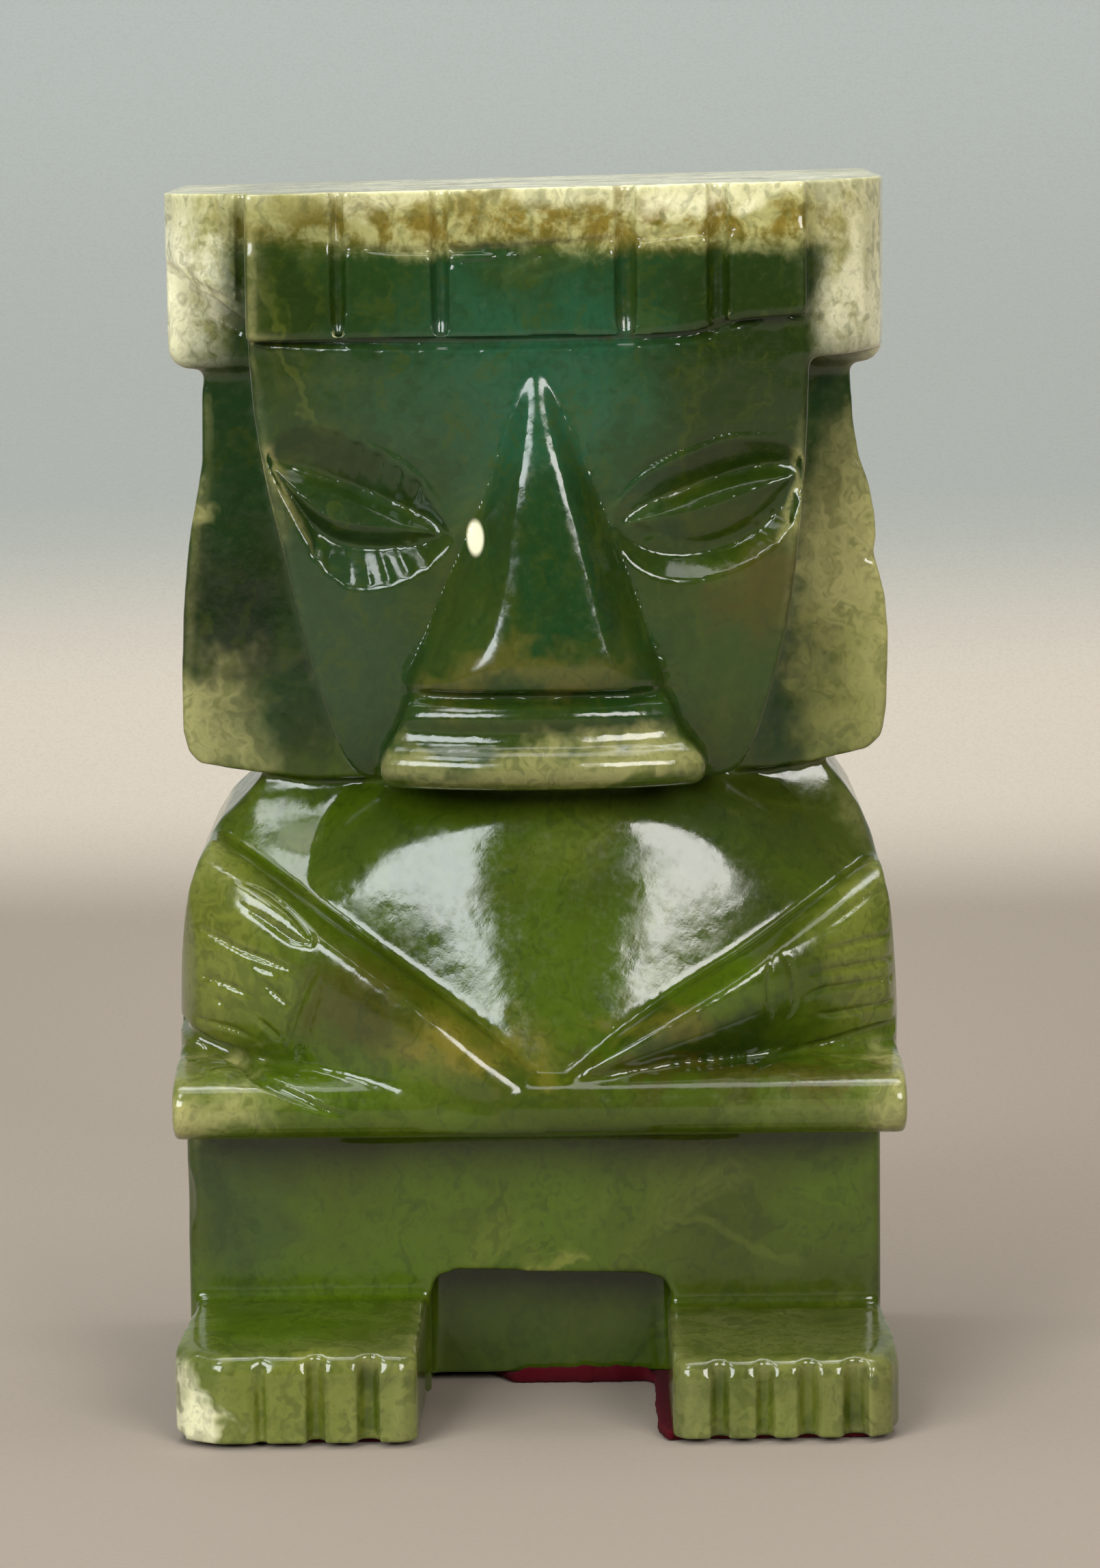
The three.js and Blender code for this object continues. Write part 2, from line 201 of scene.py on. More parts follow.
def stack(name, levels, side, power, around=72, smoothing=2):
    """A bowed form built up from level to level: height, left edge, right edge and front."""
    bpy.ops.mesh.primitive_circle_add(vertices=around, radius=1, fill_type="NGON")
    piece = settle(name)
    for vertex in piece.data.vertices:
        x, y = vertex.co.x, vertex.co.y
        squared = (math.copysign(abs(x) ** (2 / power), x), math.copysign(abs(y) ** (2 / power), y))
        vertex.co = (squared[0], squared[1], 0)
    z, left, right, front = levels[0]
    half, depth, middle = (right - left) / 2, side - front, (left + right) / 2
    edit(piece, "FACE", lambda corners: True)
    bpy.ops.transform.resize(value=(half * MM, depth * MM, 1), center_override=(0, 0, 0))
    bpy.ops.transform.translate(value=(middle * MM, side * MM, z * MM))
    for z1, left1, right1, front1 in levels[1:]:
        half1, depth1, middle1 = (right1 - left1) / 2, side - front1, (left1 + right1) / 2
        step = ((middle1 - middle) * MM, 0, (z1 - z) * MM)
        bpy.ops.mesh.extrude_region_move(TRANSFORM_OT_translate={"value": step})
        bpy.ops.transform.resize(
            value=(half1 / half, depth1 / depth, 1), center_override=(middle1 * MM, side * MM, z1 * MM)
        )
        z, half, depth, middle = z1, half1, depth1, middle1
    face_outwards(piece)
    ends = (levels[0][0], levels[-1][0])
    edit(piece, "EDGE", lambda c: any(all(abs(v.z - end) < 0.01 for v in c) for end in ends))
    bpy.ops.transform.edge_crease(value=1)
    bpy.ops.object.mode_set(mode="OBJECT")
    return modify(piece, "SUBSURF", levels=smoothing, render_levels=smoothing)


def across(row, first, last):
    return [(row, column) for column in range(first, last + 1)]


def down(column, first, last):
    return [(row, column) for row in range(first, last + 1)]


def relief(name, rows, back, crisp=(), smoothing=3):
    """A carved front: rows of points (x, y, z) from top to bottom, thickened straight back.

    Each crisp edge is how sharp it is and a run of (row, column).
    """
    tall, wide = len(rows), len(rows[0])
    bpy.ops.mesh.primitive_grid_add(x_subdivisions=wide - 1, y_subdivisions=tall - 1, size=1)
    piece = settle(name)
    order = sorted(piece.data.vertices, key=lambda v: (-round(v.co.y, 4), v.co.x))
    for vertex, place in zip(order, [place for row in rows for place in row]):
        vertex.co = Vector(place) * MM
    for sharp, run in crisp:
        line = [Vector(rows[row][column]) for row, column in run]
        edit(piece, "EDGE", lambda c: all(min((v - p).length for p in line) < 0.01 for v in c))
        bpy.ops.transform.edge_crease(value=sharp)
        bpy.ops.object.mode_set(mode="OBJECT")
    modify(piece, "SUBSURF", levels=smoothing, render_levels=smoothing)
    edit(piece, "FACE", lambda corners: True)
    bpy.ops.mesh.extrude_region_move(TRANSFORM_OT_translate={"value": (0, MM, 0)})
    bpy.ops.transform.resize(value=(1, 0, 1), center_override=(0, back * MM, 0))
    return face_outwards(piece)


def mark(name, line, flat=None):
    """A round-nosed tool mark: a smooth line of (x, y, z, radius) that swells and tapers."""
    bpy.ops.curve.primitive_nurbs_path_add()
    path = bpy.context.object
    path.name = name
    shape = path.data
    shape.splines.clear()
    places = smooth_line(line)
    spline = shape.splines.new("POLY")
    spline.points.add(len(places) - 1)
    for point, place in zip(spline.points, places):
        point.co = (place[0] * MM, place[1] * MM, place[2] * MM, 1)
        point.radius = max(place[3], 0.08)
    shape.dimensions = "3D"
    shape.bevel_depth = MM
    shape.bevel_resolution = 3
    shape.use_fill_caps = True
    take(path)
    bpy.ops.object.convert(target="MESH")
    return face_outwards(settle(name))


def ball(name, middle, half, turn=0):
    """An egg: its middle, its half sizes, and its turn as seen from the front."""
    bpy.ops.mesh.primitive_uv_sphere_add(segments=48, ring_count=32, radius=MM)
    piece = bpy.context.object
    piece.scale = half
    piece.rotation_euler = (0, -math.radians(turn), 0)
    piece.location = Vector(middle) * MM
    return settle(name)


# Blocking out the stone
TORSO_EDGE_LEFT = [
    (-48.6, 36), (-49.4, 42), (-49.2, 50), (-48.8, 56), (-48.5, 61.8), (-47.8, 67.4),
    (-47.1, 71.2), (-45.8, 75), (-43.5, 78.7), (-40.9, 81), (-38.2, 83.6), (-36.2, 86), (-34, 88),
]
TORSO_EDGE_RIGHT = [
    (35, 89), (37.4, 87.6), (40.1, 85.3), (42.1, 83), (44.4, 79.6), (46, 75.8), (47, 72),
    (47.8, 68), (48.3, 63), (48.8, 57), (49.3, 50), (49.4, 42), (48.6, 36),
]
TORSO_LEVELS = [
    (37, -48.6, 48.6, -14), (42, -49.2, 49.2, -14), (50, -49.2, 49.3, -14), (57, -48.8, 48.8, -14),
    (64, -48.1, 48.2, -12.5), (70, -47.3, 47.4, -10), (75, -45.8, 46.3, -6.5), (79, -43.3, 44.8, -2),
    (83, -39, 42.2, 0.5), (86, -37, 39.6, 1.5), (89, -35, 36, 2),
]
CHEST_X = (-47, -40, -32, -24, -16, -8, 0, 8, 16, 24, 32, 41, 49)
CHEST_Z = (87.4, 86, 84.4, 82, 78.5, 73, 67, 61, 55, 49, 44)
CHEST_MIDDLE = 3.5
CHEST_WAIST = (-23.2, 46) # how far forward it is, and at which height
CHEST_LEAN = 0.28
CHEST_FLAT = 4 # half width of the flat middle at its widest
CHEST_NARROWING = 0.27 # how much that half width shrinks for each mm down
CHEST_KEEL_Z = 56 # where nothing is left of it, and a soft keel begins
CHEST_FALL = 0.01 # how steeply the chest falls away to the sides
NECK_Z = 83.4 # where the chest turns back to the neck at the middle
NECK_FALL = 0.008
CHEST_BACK = 6


def chest():
    """The bare chest: a shield that leans back and falls away to both sides and to the neck."""
    def front(x, z):
        flat = min(CHEST_FLAT, CHEST_NARROWING * (z - CHEST_KEEL_Z))
        off = max(0, abs(x - CHEST_MIDDLE) - flat)
        rise = z - CHEST_WAIST[1]
        over = max(0, z - NECK_Z + NECK_FALL * (x - CHEST_MIDDLE) ** 2)
        y = CHEST_WAIST[0] + CHEST_LEAN * rise + CHEST_FALL * off**1.95 + 0.9 * over**1.3
        return min(y, CHEST_BACK - 1)
    return relief("chest", [[(x, front(x, z), z) for x in CHEST_X] for z in CHEST_Z], CHEST_BACK)


LEFT_ARM = [
    [
        (-51, -2, 80), (-45, -6, 78), (-39, -11, 74.9), (-29.2, -16.2, 68.4), (-20, -19.8, 62.2),
        (-12, -21.5, 57), (-5, -22.5, 51), (2, -22.5, 46),
    ],
    [
        (-51, -5.6, 77.5), (-45.4, -11.4, 75.5), (-39, -16.4, 72.6), (-29.2, -21.2, 66.2),
        (-20.2, -24.2, 59.8), (-12.6, -25.6, 54.4), (-6, -25.8, 48.8), (1.5, -24.6, 43.5),
    ],
    [
        (-52, -7.8, 72), (-46.4, -13.2, 70.5), (-39.5, -17.8, 68), (-29.6, -22, 62),
        (-20.6, -24.8, 56.2), (-13, -26.1, 51), (-6.4, -26.2, 46.5), (1, -25.5, 41.5),
    ],
    [
        (-52.5, -9, 64), (-47.2, -13.6, 63), (-40, -17.8, 61), (-30, -21.8, 56.5),
        (-21, -24.6, 51.5), (-13, -25.8, 47.5), (-7, -26, 44), (0.5, -25.5, 40),
    ],
    [
        (-52.8, -9, 56.5), (-47.6, -13.4, 56), (-40, -17.4, 54.5), (-30, -21.4, 51.5),
        (-21, -25, 47.5), (-13, -26.3, 44.5), (-7, -26.5, 42.4), (0.5, -26, 40.8),
    ],
    [
        (-53, -7, 50.5), (-47.8, -11, 50.2), (-40, -14.6, 49), (-30, -20, 45.6), (-21, -25.4, 43),
        (-13, -26.5, 41.6), (-7, -26.4, 40.6), (0.5, -25.2, 39.9),
    ],
    [
        (-53, -3, 46), (-47.8, -6, 46), (-40, -9, 45), (-30, -17, 42.4), (-21, -24.6, 40.6),
        (-13, -25.6, 40), (-7, -25.4, 39.7), (0.5, -24, 39.5),
    ],
]
RIGHT_ARM = [
    [
        (3.2, -22, 47.4), (8.2, -22, 50.8), (13.8, -21.4, 54.8), (20.4, -19.8, 58.8), (28.4, -16.8, 63),
        (35, -13.2, 67.4), (42.6, -8.4, 71.8), (51, -2, 76),
    ],
    [
        (3.4, -23.6, 46.6), (9, -24.6, 49.6), (15, -24.6, 53), (21, -23.6, 56.4),
        (28.4, -21.4, 60.6), (34, -18.6, 65), (42, -13.4, 69.6), (51, -5.5, 73.5),
    ],
    [
        (3.6, -23, 45.6), (9, -24, 47.8), (15, -24, 50.4), (21.4, -23.4, 53.2), (28.8, -21.8, 57),
        (36, -18.8, 61), (43.6, -14.6, 64.6), (52, -8, 68),
    ],
    [
        (3.8, -21, 44.8), (9, -21.6, 46.2), (15, -21.4, 48), (21.6, -21, 50), (29, -20, 53),
        (37, -17.4, 56.4), (44.6, -13.8, 59), (52.5, -8, 61.5),
    ],
    [
        (4, -19, 44), (9, -19, 45), (15, -18.6, 46), (21.8, -18, 47.4), (29.4, -17, 49.6),
        (37.6, -15, 51.6), (45.2, -12, 53.4), (52.8, -7, 55),
    ],
    [
        (4, -17, 43), (9, -17, 43.6), (15, -16.4, 44.2), (21.8, -15.6, 45), (29.6, -14, 46.4),
        (38, -12, 47.4), (45.8, -9, 48.6), (53, -5, 49.6),
    ],
]


def torso():
    body = stack("torso", TORSO_LEVELS, 4, 2.7)
    behind = slab("torso_back", TORSO_EDGE_LEFT + TORSO_EDGE_RIGHT, 3, BACK_Y)
    left = relief("left_arm", LEFT_ARM, 8, crisp=((0.85, across(1, 1, 7)),))
    right = relief("right_arm", RIGHT_ARM, 8, crisp=((0.9, across(1, 0, 5)),))
    arms = join("arms", [left, right])
    silhouette = slab("silhouette", TORSO_EDGE_LEFT + TORSO_EDGE_RIGHT, -40, 20)
    bow = stack("bow", [(36, -49.4, 49.4, -27), (93, -49.4, 49.4, -27)], 6, 3.2)
    combine(silhouette, "INTERSECT", bow)
    combine(arms, "INTERSECT", silhouette)
    breast = chest()
    combine(breast, "INTERSECT", slab("silhouette", TORSO_EDGE_LEFT + TORSO_EDGE_RIGHT, -40, 20))
    return [body, behind, arms, breast]


LEDGE_END = 49
LEDGE_PROFILE = [
    (-23.8, 39.5), (-25.4, 40.5), (-26.2, 42.4), (-26, 44.8), (-24.8, 46.5), (-22.4, 47.6),
    (-14, 48.4), (4, 48.4), (4, 38.9), (-22, 38.9),
]


def ledge():
    """The roll across the knees, thick and round at both ends."""
    outline = [(z, y) for y, z in LEDGE_PROFILE]
    bpy.ops.mesh.primitive_circle_add(vertices=len(outline), radius=MM, fill_type="NGON")
    piece = settle("ledge")
    for vertex, (z, y) in zip(piece.data.vertices, outline):
        vertex.co = Vector((-LEDGE_END, y, z)) * MM
    edit(piece, "FACE", lambda corners: True)
    bpy.ops.mesh.extrude_region_move(TRANSFORM_OT_translate={"value": (2 * LEDGE_END * MM, 0, 0)})
    face_outwards(piece)
    round_edges(piece, lambda c: all(abs(abs(v.x) - LEDGE_END) < 0.01 and v.y < 3 for v in c), 3.4, 4)
    knob = ball("ledge_knob_left", (-42.6, -18.6, 44.4), (6.2, 6.6, 4))
    other = ball("ledge_knob_right", (42.6, -19, 43.8), (6, 6.4, 4.4))
    return [piece, knob, other]


RECESS_OUTLINE = [
    (-15.2, -9), (17.6, -9), (17.6, 14.6), (16.8, 16.6), (14.6, 17.4), (0, 17.9), (-11.6, 18.3),
    (-14.4, 17.4), (-15.2, 14.8),
]


def skirt():
    """The flat panel below the knees with the recess between the feet."""
    panel = block("panel", (-48.1, -12, -4), (46.3, BACK_Y, 44))
    round_edges(panel, lambda c: all(v.y < 0 for v in c) and abs(c[0].x - c[1].x) < 0.01, 1.6)
    combine(panel, "DIFFERENCE", slab("recess", RECESS_OUTLINE, -60, -2))
    chip = ball("chip", (-50.6, -12.6, 28.4), (3.8, 4.4, 8))
    return [combine(panel, "DIFFERENCE", chip)]


LEFT_FOOT_PLAN = [
    (-46.6, -8), (-47, -14), (-48.2, -24), (-48.9, -31), (-47.6, -33.6), (-43, -36), (-18.4, -36),
    (-16.6, -34.6), (-16, -20), (-15.6, -8),
]
RIGHT_FOOT_PLAN = [
    (17.2, -8), (17, -20), (17.2, -34.4), (18.8, -36), (43.6, -36), (46.2, -34.4), (47.4, -31),
    (47.1, -22), (46.4, -14), (46, -8),
]
# Cuts between the toes: from, to, depth
LEFT_TOES = [(-37.9, -36.6, 1.6), (-31.2, -28.9, 2.2), (-24.4, -21.6, 2.3)]
RIGHT_TOES = [(22.2, 24.6, 2), (28.2, 30.5, 2), (33.9, 36.3, 2.1), (39.9, 42.9, 2.3)]
FOOT_SLOPE = 22 # how far back the instep rises


def foot(name, plan, tops, toes):
    """A block with a sloping instep, rounded over at the toes, and cuts between them."""
    piece = post(name, plan, -3, 20)
    front, instep = tops
    slope = (instep - front) / FOOT_SLOPE
    over = slab(name + "_top", [(-60, front), (60, front), (60, 40), (-60, 40)], -60, 0)
    edit(over, "VERT", lambda c: c[0].z < 30 and c[0].y > -1)
    bpy.ops.transform.translate(value=(0, 0, slope * 48 * MM))
    edit(over, "VERT", lambda c: c[0].z < 30 and c[0].y < -50)
    bpy.ops.transform.translate(value=(0, 0, -slope * 12 * MM))
    bpy.ops.object.mode_set(mode="OBJECT")
    combine(piece, "DIFFERENCE", over)
    round_edges(piece, lambda c: all(v.z > 5 and v.y < -30 for v in c), 2.2)
    round_edges(piece, lambda c: all(v.z > 5 for v in c) and abs(c[0].y - c[1].y) > 2, 0.9)
    cuts = []
    for left, right, depth in toes:
        cut = block("toe_cut", (left, -44, -6), (right, -36 + depth, front + 1))
        edit(cut, "VERT", lambda c: c[0].z > 0)
        bpy.ops.transform.translate(value=(0, -0.6 * MM, 0))
        bpy.ops.object.mode_set(mode="OBJECT")
        cuts.append(round_edges(cut, lambda c: all(v.y > -40 for v in c), 0.42 * min(depth, right - left)))
    return combine(piece, "DIFFERENCE", join("toe_cuts", cuts))


def feet():
    left = foot("left_foot", LEFT_FOOT_PLAN, (11.4, 13.4), LEFT_TOES)
    right = foot("right_foot", RIGHT_FOOT_PLAN, (10.4, 12), RIGHT_TOES)
    return [left, right]


HEAD_OUTLINE = [
    (-46, 87), (-40.6, 86), (-30, 84.6), (31, 85.4), (38, 86.4), (45.2, 88), (47.2, 89.8), (47.9, 94),
    (48.1, 104), (47.7, 109), (46.8, 112.6), (46.1, 114.9), (46.5, 117), (46.3, 120.3), (45.5, 124.4),
    (44.2, 128), (43.4, 133), (43, 140), (43, 150), (-44.6, 150), (-44.6, 138), (-44.8, 128),
    (-45.6, 123.6), (-46.6, 118.6), (-47.2, 113.8), (-47.8, 107), (-48.1, 99), (-48.1, 91.4), (-47.4, 88.6),
]


def head():
    """The ears and the back of the head in one slab."""
    piece = slab("head", HEAD_OUTLINE, -1.5, BACK_Y)
    round_edges(piece, lambda c: all(v.y < -1 and v.z < 149 for v in c), 1.8)
    return [piece]


FACE_EDGES = [
    (148, -37.4, 36.6, -21.4), (142, -37.3, 36.7, -21.2), (134, -36.6, 36.5, -20.8), (126, -35.3, 36, -20.3),
    (116, -33, 35.1, -19.8), (106, -30.9, 33.8, -19.4), (97, -28.4, 31.2, -19), (90, -26.1, 29.2, -17.6),
    (86.2, -24, 26.6, -15.6),
]
FACE_ACROSS = (0, 0.07, 0.2, 0.35, 0.5, 0.65, 0.8, 0.93, 1)
# Nose and muzzle: height, cheek, nose edge, nose edge, cheek, how far forward the cheeks and the nose are
NOSE_ROWS = [
    (142.6, -0.5, 0.2, 0.9, 1.6, -20.5, -20.7), (139, -1.8, -0.2, 1.5, 3, -20.3, -21.8),
    (134, -3.4, -0.7, 2.4, 5, -20, -23.4), (129.5, -4.9, -1.4, 3.6, 6.8, -19.8, -24.8),
    (126, -6, -2, 4.6, 8, -19.7, -25.4), (120, -8.4, -2.7, 6, 10.4, -19.5, -25.9),
    (113.6, -11.4, -3.2, 7.6, 12.6, -19.2, -26.4), (107, -14.3, -4.6, 9, 14.7, -19.2, -26.9),
    (102.8, -16.2, -6.6, 10.3, 16.4, -19.6, -27.2), (100.6, -17, -7.8, 10.9, 17, -20, -27),
    (99.4, -17.2, -8.4, 11, 17.2, -20, -26.2), (98.8, -17, -8, 10.8, 17, -19.6, -23.4),
]
# Mouth and chin: height, left end, right end, how far forward the middle and the ends are
MOUTH_ROWS = [
    (99.8, -16.4, 17.2, -22, -18.6), (98.3, -16.6, 17.4, -22.2, -19), (97.6, -17, 17.8, -25.2, -21.2),
    (96.2, -17.3, 18.2, -26.4, -22.2), (94.6, -17.8, 18.8, -26, -22), (93.7, -18.2, 19.2, -24.6, -20.8),
    (93.1, -18.6, 19.7, -26, -21.9), (92.4, -19, 20.2, -24.9, -20.9), (91.7, -19.5, 20.8, -26.6, -22.2),
    (89.8, -20.5, 22.4, -28.2, -23.2), (87.6, -20.7, 22.8, -27.8, -22.8), (86.1, -19.8, 21.8, -25.6, -21),
    (85.4, -18, 20, -19, -16),
]
MOUTH_ACROSS = (-1, -0.95, -0.82, -0.6, -0.3, 0, 0.3, 0.6, 0.82, 0.95, 1)


def face():
    sheet = []
    for z, left, right, front in FACE_EDGES:
        sheet.append([(left + u * (right - left), front + 2.6 * (2 * u - 1) ** 2, z) for u in FACE_ACROSS])
    nose = []
    for z, cheek, edge, far_edge, far_cheek, side, front in NOSE_ROWS:
        bulge = side + (front - side) * (0.5 if z > 104 else 0.62)
        nose.append([
            (cheek - 0.7, side + 4, z), (cheek, side, z), ((cheek + edge) / 2, bulge, z),
            (edge, front + 0.3, z), ((edge + far_edge) / 2, front, z), (far_edge, front + 0.3, z),
            ((far_cheek + far_edge) / 2, bulge, z), (far_cheek, side, z), (far_cheek + 0.7, side + 4, z),
        ])
    mouth = []
    for z, left, right, front, end in MOUTH_ROWS:
        middle, half = (left + right) / 2, (right - left) / 2
        row = [(middle + u * half, front + (end - front) * abs(u) ** 2.4, z) for u in MOUTH_ACROSS]
        mouth.append([(left - 0.3, end + 6, z), *row, (right + 0.3, end + 6, z)])
    nose_edges = (
        (0.9, down(3, 0, 4)), (0.9, down(5, 0, 4)), (0.4, down(3, 4, 9)), (0.4, down(5, 4, 9)),
        (0.8, across(10, 1, 7)),
    )
    mouth_edges = ((0.8, across(2, 1, 11)), (0.6, down(1, 2, 10)), (0.6, down(11, 2, 10)))
    return [
        relief("face", sheet, 4),
        relief("nose", nose, -10, nose_edges),
        relief("mouth", mouth, -10, mouth_edges),
    ]


BROW_LINE = [(-41, 145.4), (-25, 145.4), (-4, 145.2), (19, 145.7), (27.6, 147.6), (41, 148.3)]
TIER_LINE = [(-41, 157.4), (-24.9, 157.3), (-17.4, 157), (13.1, 158.2), (31.1, 159.9), (41, 160.2)]
# Channels in the headdress: across, half width
CHANNELS = [(-25.2, 0.9), (-11.8, 1.1), (12.5, 1.4), (24.6, 1.4)]
CROWN_FRONT = -21.9
CROWN_SIDES = (-37.4, 36.2)
LEFT_WING = [(-49, -3.6), (-47.6, -7), (-43.6, -11.6), (-39, -14.6), (-36, -15), (-36, 4), (-49, 4)]
RIGHT_WING = [
    (47.3, -3.6), (46.6, -8.4), (44.2, -13), (40.6, -16.6), (36, -19.2), (34, -19.2), (34, 4), (47.3, 4),
]
LEFT_WING_UNDER = [
    (-60, 160), (-47, 154.6), (-44.4, 152), (-40.8, 150.2), (-38.1, 148.2), (-30, 144), (-30, 130), (-60, 130),
]
RIGHT_WING_UNDER = [(60, 143.6), (46, 143), (38, 142.4), (30, 142), (30, 130), (60, 130)]


def headdress():
    """A front block with two tiers, and a wing at each side that falls back from it."""
    left_side, right_side = CROWN_SIDES
    outline = [(max(min(x, right_side), left_side), z) for x, z in BROW_LINE]
    crown = slab("crown", outline + [(right_side, 175), (left_side, 175)], CROWN_FRONT, 8)
    upper = slab("upper_tier", TIER_LINE + [(41, 180), (-41, 180)], -40, CROWN_FRONT + 0.35)
    combine(crown, "DIFFERENCE", upper)
    back = block("wings", (-49, -3.6, 140.8), (47.3, BACK_Y, 175))
    round_edges(back, lambda c: all(abs(v.z - 140.8) < 0.1 for v in c) and abs(c[0].x - c[1].x) < 0.1, 3, 4)
    round_edges(back, lambda c: all(v.y < -3.5 for v in c), 1.2, 3)
    left = post("left_wing", LEFT_WING, 141, 175)
    combine(left, "DIFFERENCE", slab("left_wing_cut", LEFT_WING_UNDER, -40, 10))
    right = post("right_wing", RIGHT_WING, 141, 175)
    combine(right, "DIFFERENCE", slab("right_wing_cut", RIGHT_WING_UNDER, -40, 10))
    return [crown, back, left, right]


# Carving
def touch(surface, x, z, otherwise=0):
    """How far forward the stone reaches at a place on the front."""
    hit = surface.ray_cast(Vector((x * MM, -FAR * MM, z * MM)), Vector((0, 1, 0)))[0]
    return hit.y / MM if hit else otherwise


def along(surface, line, sink):
    """Lays a line of (x, z, radius) on the front, its middle sunk by a share of its radius."""
    laid = []
    y = 0
    for x, z, radius in smooth_line(line, 4):
        y = touch(surface, x, z, y)
        laid.append((x, y + sink * radius, z, radius))
    return laid


EYE_DEEPER = 1.45 # how much deeper the eyes are cut than the depths below
# Eyes, seen from the front: rim (x, z), floor (x, z), depth of the floor
LEFT_EYE = [
    (-35.3, 130.2, -34.5, 129.4, 0.7), (-32.8, 133.4, -31.6, 128.8, 2), (-28.4, 134.3, -28.2, 127.8, 2.4),
    (-24, 132.5, -24.8, 126.3, 2.5), (-19.6, 130, -20.6, 124.5, 2.5), (-15.6, 127, -16.6, 122.7, 2.3),
    (-12.6, 123, -13.4, 121.1, 1.6), (-10.6, 119.4, -11.6, 119.4, 0.6), (-12.2, 117, -14.2, 118.2, 1.5),
    (-15.6, 114.5, -17.6, 117.8, 2.1), (-20.4, 112.6, -21.6, 117.5, 2.3), (-25.2, 112.9, -25.2, 118, 2.3),
    (-28.9, 117, -28.5, 119.6, 1.9), (-32.2, 123, -31.4, 123.6, 1.4),
]
RIGHT_EYE = [
    (9.8, 120.6, 11.2, 120.6, 0.6), (12.6, 125.2, 14.4, 122.8, 1.6), (16.5, 127.9, 18, 124.4, 2),
    (21.5, 130.2, 22.4, 126, 2.2), (26, 131.7, 26.8, 127.4, 2.2), (31, 131.7, 31.2, 128.2, 2),
    (35.2, 130.4, 34.4, 128.4, 1.2), (36, 126.6, 35.1, 126.4, 0.8), (35, 121.6, 32.8, 122.2, 1.6),
    (32.2, 117.9, 29.4, 119, 2), (27.2, 114.8, 25.6, 117.1, 2.1), (21, 113.1, 21, 116.3, 2.1),
    (15.6, 114, 16.8, 116.6, 1.7), (11.6, 116.9, 12.8, 118.3, 1.1),
]
# Eyeballs: across, height of the upper edge, ridge and lower edge, depth of the ridge
LEFT_BALL = [
    (-34.6, 129.6, 129.3, 129, 0.7), (-31.6, 128.6, 125.4, 123.4, 0.5), (-28.5, 127.6, 122.5, 119.6, 0.35),
    (-25, 126.2, 121.2, 118, 0.4), (-21, 124.4, 120.7, 117.5, 0.5), (-17, 122.7, 120.5, 117.8, 0.7),
    (-13.8, 121, 120, 118.4, 0.9), (-11.4, 119.6, 119.4, 119.2, 1.1),
]
RIGHT_BALL = [
    (11.4, 120.8, 120.5, 120.2, 1.1), (14.5, 122.7, 121.4, 118, 0.8), (18, 124.2, 121.9, 116.7, 0.55),
    (21.5, 125.6, 122.6, 116.4, 0.4), (25.5, 127, 123.8, 117.2, 0.4), (29.5, 128, 125.2, 119.2, 0.5),
    (32.5, 128.3, 126.2, 121.8, 0.7), (35.1, 127.4, 126.8, 126, 1),
]


def socket(surface, name, pairs):
    """A bowl with sloping walls, cut in between the rim of an eye and its floor."""
    rim = smooth_line([(x, z) for x, z, *rest in pairs], 3, closed=True)
    floor = smooth_line([(x, z, depth) for *rest, x, z, depth in pairs], 3, closed=True)
    piece = slab(name, rim, -60, -50)
    edge = sorted((v for v in piece.data.vertices if v.co.y > -55 * MM), key=lambda v: v.index)
    for vertex in edge:
        vertex.co.y = (touch(surface, vertex.co.x / MM, vertex.co.z / MM) - 0.02) * MM
    edit(piece, "FACE", lambda corners: all(v.y > -50 for v in corners))
    bpy.ops.mesh.extrude_region_move(TRANSFORM_OT_translate={"value": (0, 6 * MM, 0)})
    bpy.ops.object.mode_set(mode="OBJECT")
    deep = [v for v in piece.data.vertices if v.select]
    for vertex in deep:
        near = min(range(len(rim)), key=lambda i: (rim[i] - Vector((vertex.co.x, vertex.co.z)) / MM).length)
        x, z, depth = floor[near]
        vertex.co = Vector((x, touch(surface, x, z) + depth * EYE_DEEPER, z)) * MM
    return face_outwards(piece)


def eyeball(surface, name, columns):
    """A long ridge that fills the floor of an eye."""
    rows = []
    for share, fall in ((0, 4.2), (0.12, 2.6), (0.5, 1), (1, 0), (1.5, 1), (1.88, 2.6), (2, 4.2)):
        row = []
        for x, top, ridge, bottom, depth in columns:
            z = top + (ridge - top) * share if share <= 1 else ridge + (bottom - ridge) * (share - 1)
            row.append((x, touch(surface, x, z) + depth + fall, z))
        rows.append(row)
    return relief(name, rows, -12, crisp=((0.6, across(3, 0, len(columns) - 1)),))


def scallops(surface, pairs, places, radius, bite):
    """Short gouges across the sloping wall of an eye, from its floor to its rim."""
    made = []
    for place in places:
        i, t = int(place), place % 1
        ends = zip(pairs[i], pairs[(i + 1) % len(pairs)])
        rim_x, rim_z, floor_x, floor_z, depth = (a + (b - a) * t for a, b in ends)
        depth *= EYE_DEEPER
        lift = radius - bite
        slope = Vector((depth, abs(rim_z - floor_z))).normalized()
        side = 1 if rim_z < floor_z else -1
        start = (rim_x, touch(surface, rim_x, rim_z) - lift * slope.y, rim_z + side * lift * slope.x, radius)
        bottom = touch(surface, floor_x, floor_z) + depth
        end = (floor_x, bottom - lift * slope.y, floor_z + side * lift * slope.x, radius * 0.8)
        made.append(mark("scallop", [start, end]))
    return made


